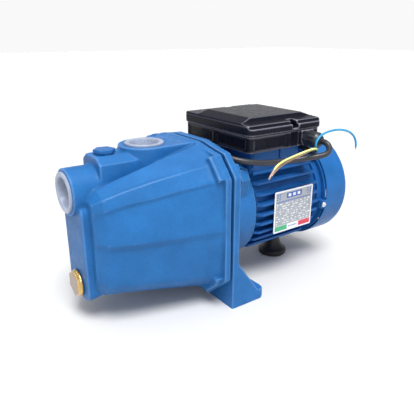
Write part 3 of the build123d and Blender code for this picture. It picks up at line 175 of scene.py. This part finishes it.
def enamel(name, colour, grain, lumps, gloss, grain_scale=1000, cast=False, edge=0.0):
    """Blue enamel: grain and slow lumps under patchy gloss; a sand casting also has pits, a painted
    highlight on its edges and painted shade in its corners.
    """
    mat, shader = material(name)
    tint = ramp(mat, noise(mat, 38, 4), [(0.3, shade(colour, 0.88)), (0.7, shade(colour, 1.08))])
    speckle = ramp(mat, noise(mat, grain_scale * 0.8, 2), [(0.35, 0.86), (0.65, 1.0)])
    tint = mixed(mat, 0.8 if cast else 0.3, tint, speckle, "MULTIPLY")
    layers = [(noise(mat, 70, 2), lumps, 0.0012), (noise(mat, grain_scale, 4, 0.6), grain, 0.00035)]
    if cast:
        # painted highlight on the casting's raised edges and painted shade in its corners
        tint = painted_highlight_and_corner_shade(mat, tint, 0.4)
        layers.append((pits(mat, 420, 0.22), 0.35, 0.0002))
    link(mat, tint, shader.inputs["Base Color"])
    rough(mat, shader, noise(mat, 120, 5), gloss - 0.06, gloss + 0.1)
    shader.inputs["Specular IOR Level"].default_value = 0.16
    shader.inputs["Coat Weight"].default_value = 0.05
    shader.inputs["Coat Roughness"].default_value = 0.25
    bump(mat, shader, layers, edge)
    return mat


def plastic(name, colour, roughness, grain=0.15, scale=1600, edge=0.0, painted_light=0.0):
    """Moulded plastic or rubber with a fine skin and uneven colour; the painted-light amount paints a
    highlight on its edges and shade in its corners.
    """
    mat, shader = material(name)
    tint = ramp(mat, noise(mat, 60, 4), [(0.3, shade(colour, 0.85)), (0.7, shade(colour, 1.15))])
    if painted_light:
        # painted highlight on the edges and painted shade in the corners
        tint = painted_highlight_and_corner_shade(mat, tint, painted_light, (0.42, 0.42, 0.52))
    link(mat, tint, shader.inputs["Base Color"])
    rough(mat, shader, noise(mat, 200, 4), roughness - 0.04, roughness + 0.06)
    bump(mat, shader, [(noise(mat, 45, 2), 0.12, 0.0008), (noise(mat, scale, 2), grain, 0.0001)], edge)
    return mat


def metal(name, colour, roughness, stretch=(1, 1, 1), scale=900, grain=0.12, edge=0.2):
    """Bare metal with tool marks along the unstretched axes."""
    mat, shader = material(name)
    shader.inputs["Metallic"].default_value = 1.0
    streaks = noise(mat, scale, 3, 0.6, stretch)
    stains = ramp(mat, noise(mat, 150, 4), [(0.3, 0.78), (0.62, 1.0)])
    tint = ramp(mat, streaks, [(0.3, shade(colour, 0.8)), (0.7, shade(colour, 1.1))])
    link(mat, mixed(mat, 0.7, tint, stains, "MULTIPLY"), shader.inputs["Base Color"])
    rough(mat, shader, streaks, roughness - 0.06, roughness + 0.1)
    bump(mat, shader, [(streaks, grain, 0.00008)], edge)
    return mat


def uniform(mat, socket, value):
    """Sets one socket of the material's own shader, the same all over the surface."""
    mat.node_tree.nodes["Principled BSDF"].inputs[socket].default_value = value


def printed(name, colour, roughness=0.45):
    """Printing ink on the plate, with a little wear."""
    mat, shader = material(name)
    wear = ramp(mat, noise(mat, 700, 4), [(0.28, shade(colour, 0.8)), (0.45, colour)])
    link(mat, wear, shader.inputs["Base Color"])
    rough(mat, shader, noise(mat, 300, 3), roughness - 0.08, roughness + 0.1)
    return mat


cast_enamel = enamel("cast_enamel", CAST_BLUE, 0.9, 0.5, 0.4, 800, cast=True)
motor_enamel = enamel("motor_enamel", MOTOR_BLUE, 0.22, 0.2, 0.38, 1300, edge=0.7)
cover_enamel = enamel("cover_enamel", COVER_BLUE, 0.08, 0.1, 0.33, 1500, edge=0.5)
# the box gets a painted highlight on its edges and painted shade in its corners
box_plastic = plastic("box_plastic", (0.006, 0.007, 0.014), 0.28, 0.08, 1500, painted_light=1.0)
uniform(box_plastic, "Specular IOR Level", 0.1)
gland_plastic = plastic("gland_plastic", (0.020, 0.022, 0.032), 0.34, 0.2, 1500, edge=0.6)
cap_plastic = plastic("cap_plastic", (0.44, 0.50, 0.64), 0.30, 0.1, edge=0.4)
uniform(cap_plastic, "Transmission Weight", 0.35)
uniform(cap_plastic, "IOR", 1.45)
black_rubber = plastic("black_rubber", (0.008, 0.008, 0.011), 0.5, 0.3, edge=0.6)
red_fibre = plastic("red_fibre", (0.10, 0.025, 0.02), 0.7)
pale_plastic = plastic("pale_plastic", (0.75, 0.75, 0.72), 0.45)
dark_plastic = plastic("dark_plastic", (0.02, 0.02, 0.022), 0.5)
zinc = metal("zinc", (0.78, 0.78, 0.80), 0.3)
black_zinc = metal("black_zinc", (0.05, 0.05, 0.06), 0.35)
steel = metal("steel", (0.55, 0.55, 0.57), 0.35)
lamination = metal("lamination", (0.30, 0.30, 0.32), 0.5, (1, 30, 30))
copper = metal("copper", (0.62, 0.25, 0.10), 0.4, (1, 8, 8))
strand_metal = metal("strand_metal", (0.86, 0.66, 0.55), 0.3, (1, 1, 1), 2500)
cable_pvc = plastic("cable_pvc", (0.026, 0.027, 0.036), 0.38, 0.3, 900)
blue_pvc = plastic("blue_pvc", (0.008, 0.270, 0.520), 0.35)
green_pvc = plastic("green_pvc", (0.090, 0.400, 0.160), 0.38)
yellow_pvc = plastic("yellow_pvc", (0.740, 0.690, 0.240), 0.38)
brown_pvc = plastic("brown_pvc", (0.500, 0.265, 0.140), 0.40)


def end_face_painted_reflection(mat):
    """Paints the faces square to X a dull, greyer tan with streaks: a painted reflection on these faces."""
    target = mat.node_tree.nodes["Principled BSDF"].inputs["Base Color"]
    ends = node(mat, "ShaderNodeSeparateXYZ")
    link(mat, node(mat, "ShaderNodeTexCoord").outputs["Normal"], ends.inputs[0])
    facing = node(mat, "ShaderNodeMath", operation="ABSOLUTE")
    link(mat, ends.outputs["X"], facing.inputs[0])
    end_face_mask = ramp(mat, facing.outputs[0], [(0.9, 0.0), (0.97, 1.0)])
    streaks = noise(mat, 900, 3, 0.6, (1, 0.2, 3))
    reflection_tan = ramp(mat, streaks, [(0.3, (0.30, 0.225, 0.18)), (0.7, (0.42, 0.33, 0.27))])
    link(mat, mixed(mat, end_face_mask, target.links[0].from_socket, reflection_tan), target)


brass = metal("brass", (0.83, 0.55, 0.20), 0.27)
# painted reflection on the brass end faces
end_face_painted_reflection(brass)

plate_white = printed("plate_white", (0.80, 0.82, 0.86))
plate_grey = metal("plate_grey", (0.42, 0.45, 0.50), 0.45, (1, 1, 12), 700)
uniform(plate_grey, "Metallic", 0.35)
ink_white = printed("ink_white", (0.74, 0.76, 0.78))
ink_blue = printed("ink_blue", (0.045, 0.110, 0.420))
ink_green = printed("ink_green", (0.055, 0.390, 0.190))
ink_red = printed("ink_red", (0.640, 0.045, 0.080))
# painted shade for the rivets' mandrel holes
hole_shade_black = printed("hole_shade_black", (0.006, 0.006, 0.008), 0.7)

FINISH = {
    cast_enamel: ("pump_body", "motor_bracket", "body_bolt_1", "body_bolt_2", "body_bolt_3", "body_bolt_4"),
    motor_enamel: ("motor_housing", "rear_end_shield"),
    cover_enamel: ("fan_cover", "filler_plug", "filler_washer"),
    box_plastic: ("terminal_box_base", "terminal_box_lid"),
    gland_plastic: ("gland_body", "gland_nut"),
    cap_plastic: ("suction_cap", "delivery_cap"),
    black_rubber: ("rubber_foot", "body_gasket", "box_gasket", "slinger", "seal_rotary", "seal_seat"),
    red_fibre: ("drain_washer",),
    pale_plastic: ("terminal_block", "capacitor"),
    dark_plastic: ("cooling_fan", "diffuser", "venturi_tube", "ejector_nozzle"),
    brass: ("drain_plug", "impeller"),
    black_zinc: ("lid_screw_1", "lid_screw_2"),
    plate_white: ("nameplate",),
    zinc: (
        "cover_screw_1", "cover_screw_2", "cover_screw_3", "nameplate_rivet_1", "nameplate_rivet_2",
        "tie_rod_1", "tie_rod_2", "tie_rod_3", "tie_rod_4", "rubber_foot_stud",
    ),
    steel: (
        "motor_shaft", "impeller_nut", "front_bearing_inner", "front_bearing_outer", "rear_bearing_inner",
        "rear_bearing_outer",
    ),
    lamination: ("stator_core", "rotor_core"),
    copper: ("winding_front", "winding_rear"),
    cable_pvc: ("power_cable", "core_blue", "core_green_yellow", "core_brown"),
}
for mat, names in FINISH.items():
    for name in names:
        NODES[name].data.materials.clear()
        NODES[name].data.materials.append(mat)


# ---- softened edges on the carried-over nodes ----
def modifier(piece, kind, **settings):
    made = piece.modifiers.new(kind.lower(), kind)
    for key, value in settings.items():
        setattr(made, key, value)


def moulded(name, voxel, rounds):
    """Rounds every edge and corner of a casting or a moulding, as its mould does."""
    piece = NODES[name]
    modifier(piece, "WELD", merge_threshold=0.01 * MM)
    modifier(piece, "REMESH", mode="VOXEL", voxel_size=voxel * MM, use_smooth_shade=True)
    modifier(piece, "SMOOTH", factor=0.6, iterations=rounds)


moulded("pump_body", 1.1, 8)
moulded("motor_bracket", 1.0, 4)
moulded("terminal_box_base", 0.8, 4)
moulded("terminal_box_lid", 0.8, 4)
for number in range(1, 5):
    moulded(f"body_bolt_{number}", 0.4, 2)
moulded("drain_plug", 0.35, 2)
moulded("filler_plug", 0.35, 3)
moulded("gland_nut", 0.35, 2)
moulded("rubber_foot", 0.7, 3)


# ---- cords ----
CABLE_DIAMETER = 6.5
CORE_DIAMETER = 2.5
CABLE_POINTS = (
    (92, -84, 176), (92, -89.5, 176), (92.7, -94.8, 174.3), (93, -98, 169.8), (90.5, -98.3, 164.8),
    (84.5, -94.6, 161.9), (75, -88, 160), (60, -78.5, 157.4), (41, -71, 156.2), (20, -67.5, 157.4),
    (1, -62, 160.5), (-12, -50, 164), (-18, -32, 166), (-19, -8, 166.6), (-18, 18, 166.3), (-12, 41, 164.5),
    (0, 58, 161.5), (18, 67, 159), (42, 70, 158), (66, 68.5, 158.5), (88, 61.5, 160), (103, 46, 161.2),
    (108.5, 23, 161.6), (109, -4, 161.4), (107, -31, 161), (102.5, -53, 160.2), (96.5, -68.5, 160.2),
    (90.5, -78, 161.6), (84.8, -84.5, 164.8), (79.5, -89, 169.3),
)
BLUE_POINTS = (
    (80.2, -88.5, 170.7), (77.4, -90.8, 173), (76.2, -92, 177), (78, -92.3, 181), (83, -92, 184.5),
    (91, -91.5, 186.8), (103, -91, 188), (116, -90.6, 187.4), (128, -90.3, 185), (139, -90, 180.5),
    (147, -89.8, 173.5), (150.3, -89.8, 165.5), (150, -90, 159.6),
)
GREEN_YELLOW_POINTS = (
    (80, -90.3, 168.6), (75.5, -93.5, 171), (66, -94, 171.3), (54, -92.5, 168.8), (40, -91, 165.7),
    (28, -90.3, 162.8), (18, -90, 158), (9.5, -89.5, 146.5),
)
BROWN_POINTS = (
    (78.3, -88.2, 168.6), (73.3, -91, 170.2), (65, -91, 168.6), (54, -89.3, 165.2), (41, -88.3, 162.1),
    (30, -88, 158.8), (20.5, -88, 154), (11.5, -88, 145),
)


def route(name, points, resolution):
    """The cord's smooth line: a NURBS curve with the route's points as its control points."""
    data = bpy.data.curves.new(name, "CURVE")
    data.dimensions = "3D"
    spline = data.splines.new("NURBS")
    spline.points.add(len(points) - 1)
    for point, place in zip(spline.points, points):
        point.co = (*(Vector(place) * MM), 1)
    spline.order_u = 3
    spline.use_endpoint_u = True
    spline.resolution_u = resolution
    data.resolution_u = resolution
    made = bpy.data.objects.new(name, data)
    bpy.context.scene.collection.objects.link(made)
    return made


def line_of(curve):
    """The points along a route's curve, as Blender draws it with no bevel."""
    mesh = bpy.data.meshes.new_from_object(curve)
    line = [vertex.co.copy() for vertex in mesh.vertices]
    bpy.data.meshes.remove(mesh)
    return line


def frames(line):
    """(place, side, up, distance run) at each point of a line, with no twist along it."""
    side = (line[1] - line[0]).orthogonal().normalized()
    run = 0
    rows = []
    for index, place in enumerate(line):
        ahead = (line[min(index + 1, len(line) - 1)] - line[max(index - 1, 0)]).normalized()
        side = (side - ahead * side.dot(ahead)).normalized()
        if index:
            run += (place - line[index - 1]).length
        rows.append((place, side, ahead.cross(side), run))
    return rows


def add_tube(shape, rows, radius_of, sides, slot_of):
    """Adds a closed tube along the frames to a bmesh; radius and material may change with run and angle."""
    rings = []
    for place, side, up, run in rows:
        ring = []
        for step in range(sides):
            turn = 2 * pi * step / sides
            ring.append(shape.verts.new(place + (side * cos(turn) + up * sin(turn)) * radius_of(run, turn)))
        rings.append(ring)
    for row, (first, second) in enumerate(zip(rings, rings[1:])):
        for step in range(sides):
            after = (step + 1) % sides
            face = shape.faces.new((first[step], first[after], second[after], second[step]))
            face.material_index = slot_of(rows[row][3], 2 * pi * step / sides)
            face.smooth = True
    shape.faces.new(rings[0][::-1])
    shape.faces.new(rings[-1])


def finished(name, shape, materials, body, slot):
    """Turns the bmesh into a piece that rides on a body, with the given materials; slot is not used."""
    bmesh.ops.recalc_face_normals(shape, faces=shape.faces)
    data = bpy.data.meshes.new(name)
    shape.to_mesh(data)
    shape.free()
    for mat in materials:
        data.materials.append(mat)
    made = bpy.data.objects.new(name, data)
    bpy.context.scene.collection.objects.link(made)
    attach(made, body)
    return made


cable = route("power_cable_flex", CABLE_POINTS, 12)
cable.data.bevel_depth = CABLE_DIAMETER / 2 * MM
cable.data.bevel_resolution = 8
cable.data.use_fill_caps = True
cable.data.materials.append(cable_pvc)
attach(cable, "pump")
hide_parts("power_cable")

CORE_SIDES = 18
RIB_PITCH = 1.3 * MM
RIB_DEPTH = 0.035
BARE_RADIUS = 0.42 * MM
STRAND_COUNT = 8
STRAND_SIDES = 7
STRAND_LAY = 9 * MM
STRAND_RADIUS = 0.26 * MM
STRIPE_SIDE = Vector((0.2, -0.45, 0.85))


def core(name, points, materials, slot, bare, stripe=None):
    """A ribbed core with its stripped end and strands; stripe is the way its second colour faces."""
    curve = route(name + "_route", points, 24)
    line = line_of(curve)
    bpy.data.objects.remove(curve)
    rows = frames(line)
    across = {row[3]: row for row in rows}
    total = rows[-1][3]
    cut = total - bare * MM
    outer = CORE_DIAMETER / 2 * MM

    def radius_of(run, turn):
        if run > cut:
            return BARE_RADIUS
        return outer * (1 + RIB_DEPTH * sin(2 * pi * run / RIB_PITCH + turn))

    def slot_of(run, turn):
        if run > cut:
            return len(materials) - 1
        if stripe is None:
            return 0
        _, side, up, _ = across[run]
        away = side * cos(turn) + up * sin(turn)
        return int(away.dot(stripe) > 0.25)

    shape = bmesh.new()
    add_tube(shape, rows, radius_of, CORE_SIDES, slot_of)
    piece = finished(name + "_wire", shape, materials, "pump", slot)
    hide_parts(name)
    tail = [row for row in rows if row[3] > cut - 1.0 * MM]
    shape = bmesh.new()
    for number in range(STRAND_COUNT):
        strand = []
        for place, side, up, run in tail:
            along = max(0, run - cut) / (total - cut)
            lay = 2 * pi * number / STRAND_COUNT + 2 * pi * run / STRAND_LAY
            away = (0.92 - 0.75 * along**1.5) * outer * (0.8 if number % 2 else 0.95)
            strand.append((place + (side * cos(lay) + up * sin(lay)) * away, side, up, run))
        strand = strand[: len(strand) - (number * 3) % 7]
        add_tube(shape, strand, lambda run, turn: STRAND_RADIUS, STRAND_SIDES, lambda run, turn: 0)
    strands = finished(name + "_strands", shape, [strand_metal], "pump", slot)
    return piece, line, total, [strands]


for name, points, materials, bare, stripe in (
    ("core_blue", BLUE_POINTS, [blue_pvc, strand_metal], 3, None),
    ("core_green_yellow", GREEN_YELLOW_POINTS, [green_pvc, yellow_pvc, strand_metal], 12, STRIPE_SIDE),
    ("core_brown", BROWN_POINTS, [brown_pvc, strand_metal], 11, None),
):
    piece, line, total, ends = core(name, points, materials, name, bare, stripe)
    tuple(Vector(points[0]) * MM)
    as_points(line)
    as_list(ends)

# moulded lip where the cable leaves the gland nut
LIP_END_Y = -86
LIP_RINGS_Y = (-83.6, -84.6, -85.6, LIP_END_Y)
LIP_RADIUS = 3.35
LIP_FLARE = 1.6
LIP_FLARE_LENGTH = 1.2
GLAND_X = 92
GLAND_Z = 176
shape = bmesh.new()
lip = [(Vector((GLAND_X, y, GLAND_Z)) * MM, Vector((1, 0, 0)), Vector((0, 0, 1)), y) for y in LIP_RINGS_Y]


def lip_radius(run, turn):
    return (LIP_RADIUS + LIP_FLARE * min(1, (run - LIP_END_Y) / LIP_FLARE_LENGTH)) * MM


add_tube(shape, lip, lip_radius, 28, lambda run, turn: 0)
finished("gland_lip", shape, [black_rubber], "pump", "black_rubber")

# ---- print on the rating plate ----
PLATE_LOW, PLATE_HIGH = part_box("nameplate")
PLATE_WIDE = PLATE_HIGH.x - PLATE_LOW.x
PLATE_TALL = PLATE_HIGH.z - PLATE_LOW.z
INK = 0.05 * MM


def outline_box(left, top, wide, tall, corner=0.0):
    """Outline in plate shares from its upper left, with round corners of a radius in mm."""
    radius = corner * MM
    x0, z0 = PLATE_LOW.x + left * PLATE_WIDE, PLATE_HIGH.z - (top + tall) * PLATE_TALL
    x1, z1 = x0 + wide * PLATE_WIDE, z0 + tall * PLATE_TALL
    points = []
    for x, z, start in ((x1, z1, 0), (x0, z1, 90), (x0, z0, 180), (x1, z0, 270)):
        inset_x = radius if x == x0 else -radius
        inset_z = radius if z == z0 else -radius
        for step in range(5 if corner else 1):
            turn = radians(start + step * 22.5)
            points.append((x + inset_x + radius * cos(turn), z + inset_z + radius * sin(turn)))
    return points


def add_ink(shape, outline, layer, slot):
    """Adds one thin printed shape that stands on the plate's face."""
    face_y = PLATE_LOW.y - layer * INK
    front = [shape.verts.new((x, face_y, z)) for x, z in outline]
    back = [shape.verts.new((x, PLATE_LOW.y + INK, z)) for x, z in outline]
    faces = [shape.faces.new(front), shape.faces.new(back[::-1])]
    for index in range(len(front)):
        after = (index + 1) % len(front)
        faces.append(shape.faces.new((front[index], back[index], back[after], front[after])))
    for face in faces:
        face.material_index = slot


GREY, WHITE, BLUE, GREEN, RED = range(5)
shape = bmesh.new()
add_ink(shape, outline_box(0.03, 0.035, 0.94, 0.80, 0.6), 1, GREY)
add_ink(shape, outline_box(0.03, 0.845, 0.315, 0.12), 1, GREEN)
add_ink(shape, outline_box(0.655, 0.845, 0.315, 0.12), 1, RED)
# plain badge: one upright blue block with three white squares
add_ink(shape, outline_box(0.30, 0.065, 0.40, 0.13), 2, BLUE)
for index in range(3):
    add_ink(shape, outline_box(0.345 + 0.12 * index, 0.095, 0.07, 0.07), 3, WHITE)
add_ink(shape, outline_box(0.05, 0.245, 0.90, 0.012), 2, BLUE)
for index in range(16):
    add_ink(shape, outline_box(0.06 + 0.056 * index, 0.262, 0.036, 0.012), 2, BLUE)
for left, wide in ((0.045, 0.045), (0.105, 0.05), (0.85, 0.04), (0.91, 0.045)):
    for line in range(4):
        add_ink(shape, outline_box(left, 0.06 + 0.04 * line, wide * (1 - 0.2 * (line % 2)), 0.018), 2, BLUE)
# rows of small marks in the table below, their widths from a simple repeating pattern
for row in range(9):
    left = 0.055
    step = row * 5
    while left < 0.90:
        step += 1
        wide = 0.018 + 0.011 * ((step * 7 + row * 3) % 5)
        near_rivet = 3 <= row <= 4 and (left < 0.11 or left > 0.86)
        if (step * 5 + row) % 7 > 1 and not near_rivet:
            add_ink(shape, outline_box(left, 0.300 + 0.059 * row, wide, 0.026), 2, WHITE)
        left += wide + 0.012 + 0.02 * ((step + row) % 3)
for index in range(7):
    add_ink(shape, outline_box(0.385 + 0.034 * index, 0.893, 0.022, 0.026), 2, BLUE)
INKS = [plate_grey, ink_white, ink_blue, ink_green, ink_red]
finished("nameplate_print", shape, INKS, "pump", "plate_aluminium")

# painted shade: a thin black disc in the mandrel hole of each blind rivet, where there is only shade
MANDREL_RADIUS = 0.75 * MM
MANDREL_DEPTHS = (-0.06, 0.3)
for number in (1, 2):
    low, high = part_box(f"nameplate_rivet_{number}")
    centre = (low + high) / 2
    shape = bmesh.new()
    rows = [
        (Vector((centre.x, low.y + depth * MM, centre.z)), Vector((1, 0, 0)), Vector((0, 0, 1)), depth)
        for depth in MANDREL_DEPTHS
    ]
    add_tube(shape, rows, lambda run, turn: MANDREL_RADIUS, 16, lambda run, turn: 0)
    finished(f"rivet_hole_shade_{number}", shape, [hole_shade_black], "pump", "zinc_steel")


# ---- threads in the ports and on the plugs ----
STEPS_PER_TURN = 36
FADE_STEPS = 18


def thread(name, start, direction, length, root, crest, pitch, mat, body, slot):
    """One helical ridge of triangular section along an axis."""
    direction = Vector(direction)
    side = direction.orthogonal().normalized()
    up = direction.cross(side)
    turns = length / pitch - 1
    count = int(turns * STEPS_PER_TURN)
    shape = bmesh.new()
    rings = []
    for step in range(count + 1):
        turn = 2 * pi * step / STEPS_PER_TURN
        away = side * cos(turn) + up * sin(turn)
        fade = min(1, step / FADE_STEPS, (count - step) / FADE_STEPS)
        depth = root + (crest - root) * fade
        base = Vector(start) + direction * (pitch * turn / (2 * pi)) * MM
        rings.append([
            shape.verts.new(base + away * radius * MM + direction * shift * pitch * MM)
            for radius, shift in ((root, 0.1), (depth, 0.5), (root, 0.9))
        ])
    for first, second in zip(rings, rings[1:]):
        for corner in range(3):
            after = (corner + 1) % 3
            shape.faces.new((first[corner], first[after], second[after], second[corner]))
    shape.faces.new(rings[0])
    shape.faces.new(rings[-1][::-1])
    finished(name, shape, [mat], body, slot)


PIPE_PITCH = 2.31
PORT_THREAD_LENGTH = 12.4
PORT_THREAD_ROOT = 15.2
PORT_THREAD_CREST = 14.85
PORT_THREAD_START = 12.0
PLUG_PITCH = 1.4
PLUG_THREAD_ROOT = 8.1
PLUG_THREAD_CREST = 8.42
PLUG_THREAD_START = 0.4
FILLER_THREAD_LENGTH = 10
DRAIN_THREAD_LENGTH = 6.8
for name in ("suction", "delivery"):
    low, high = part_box(f"{name}_cap")
    centre = (low + high) / 2
    if name == "suction":
        start, direction = Vector((low.x + PORT_THREAD_START * MM, centre.y, centre.z)), (1, 0, 0)
    else:
        start, direction = Vector((centre.x, centre.y, high.z - PORT_THREAD_START * MM)), (0, 0, -1)
    thread(
        f"{name}_thread", start, direction, PORT_THREAD_LENGTH, PORT_THREAD_ROOT, PORT_THREAD_CREST,
        PIPE_PITCH, cast_enamel, "pump", "cast_blue",
    )
for name, slot, mat in (("filler", "plug_blue", cover_enamel), ("drain", "brass", brass)):
    low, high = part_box(f"{name}_plug")
    centre = (low + high) / 2
    if name == "filler":
        start, direction = Vector((centre.x, centre.y, low.z + PLUG_THREAD_START * MM)), (0, 0, 1)
        length = FILLER_THREAD_LENGTH
    else:
        start, direction = Vector((high.x - PLUG_THREAD_START * MM, centre.y, centre.z)), (-1, 0, 0)
        length = DRAIN_THREAD_LENGTH
    thread(
        f"{name}_plug_thread", start, direction, length, PLUG_THREAD_ROOT, PLUG_THREAD_CREST, PLUG_PITCH,
        mat, f"{name}_plug_body", slot,
    )

# ---- floor, light and camera ----
floor_mat, floor_shader = material("floor_paper")
floor_shader.inputs["Base Color"].default_value = (0.64, 0.64, 0.64, 1)
floor_shader.inputs["Roughness"].default_value = 0.9
FLOOR_HALF = 8
FLOOR_CORNERS = [(x * FLOOR_HALF, y * FLOOR_HALF, 0) for x, y in ((-1, -1), (1, -1), (1, 1), (-1, 1))]
floor_mesh = bpy.data.meshes.new("floor")
floor_mesh.from_pydata(FLOOR_CORNERS, [], [(0, 1, 2, 3)])
floor = bpy.data.objects.new("floor", floor_mesh)
floor.data.materials.append(floor_mat)
bpy.context.scene.collection.objects.link(floor)

world = bpy.data.worlds.new("studio")
bpy.context.scene.world = world
world.use_nodes = True
# bright overhead and low at the horizon, dim between, so that level faces stay deep
SKY_STRENGTH = 0.95
SKY_BANDS = ((0.0, 1.0), (0.08, 1.0), (0.22, 0.62), (0.62, 0.36), (0.80, 1.1), (1.0, 1.2))
sky = world.node_tree
sky_height = sky.nodes.new("ShaderNodeSeparateXYZ")
sky.links.new(sky.nodes.new("ShaderNodeTexCoord").outputs["Generated"], sky_height.inputs[0])
sky_ramp = sky.nodes.new("ShaderNodeValToRGB")
while len(sky_ramp.color_ramp.elements) < len(SKY_BANDS):
    sky_ramp.color_ramp.elements.new(0.5)
for element, (position, level) in zip(sky_ramp.color_ramp.elements, SKY_BANDS):
    element.position = position
    element.color = (level, level, level, 1)
sky.links.new(sky_height.outputs["Z"], sky_ramp.inputs["Fac"])
sky.links.new(sky_ramp.outputs["Color"], sky.nodes["Background"].inputs["Color"])
sky.nodes["Background"].inputs["Strength"].default_value = SKY_STRENGTH


def area_light(name, place, target, size, power):
    """A rectangular lamp at a place, turned to face the target."""
    light = bpy.data.lights.new(name, "AREA")
    light.shape = "RECTANGLE"
    light.size = size[0]
    light.size_y = size[1]
    light.energy = power
    made = bpy.data.objects.new(name, light)
    made.location = place
    made.rotation_euler = (Vector(target) - Vector(place)).to_track_quat("-Z", "Y").to_euler()
    bpy.context.scene.collection.objects.link(made)


KEY_STRENGTH = 3.3
KEY_ANGLE = 28
KEY_FROM = Vector((-0.15, -0.45, 1.0))
key = bpy.data.lights.new("key", "SUN")
key.energy = KEY_STRENGTH
key.angle = radians(KEY_ANGLE)
key_object = bpy.data.objects.new("key", key)
key_object.rotation_euler = KEY_FROM.to_track_quat("Z", "Y").to_euler()
bpy.context.scene.collection.objects.link(key_object)
area_light("edge", (-0.5, -0.9, 0.9), (0, 0, 0.15), (0.25, 0.9), 2)

CAMERA_PLACE = (-317.2 * MM, -437.4 * MM, 290.0 * MM)
CAMERA_YAW = 35.4
CAMERA_PITCH = 20.3
CAMERA_LENS = 40.63
camera_data = bpy.data.cameras.new("camera")
camera_data.lens = CAMERA_LENS
camera_data.sensor_width = 36
camera_data.clip_start = 0.01
camera = bpy.data.objects.new("camera", camera_data)
camera.location = CAMERA_PLACE
camera.rotation_euler = (radians(90 - CAMERA_PITCH), 0, radians(-CAMERA_YAW))
bpy.context.scene.collection.objects.link(camera)
bpy.context.scene.camera = camera
bpy.context.scene.view_settings.view_transform = "Standard"
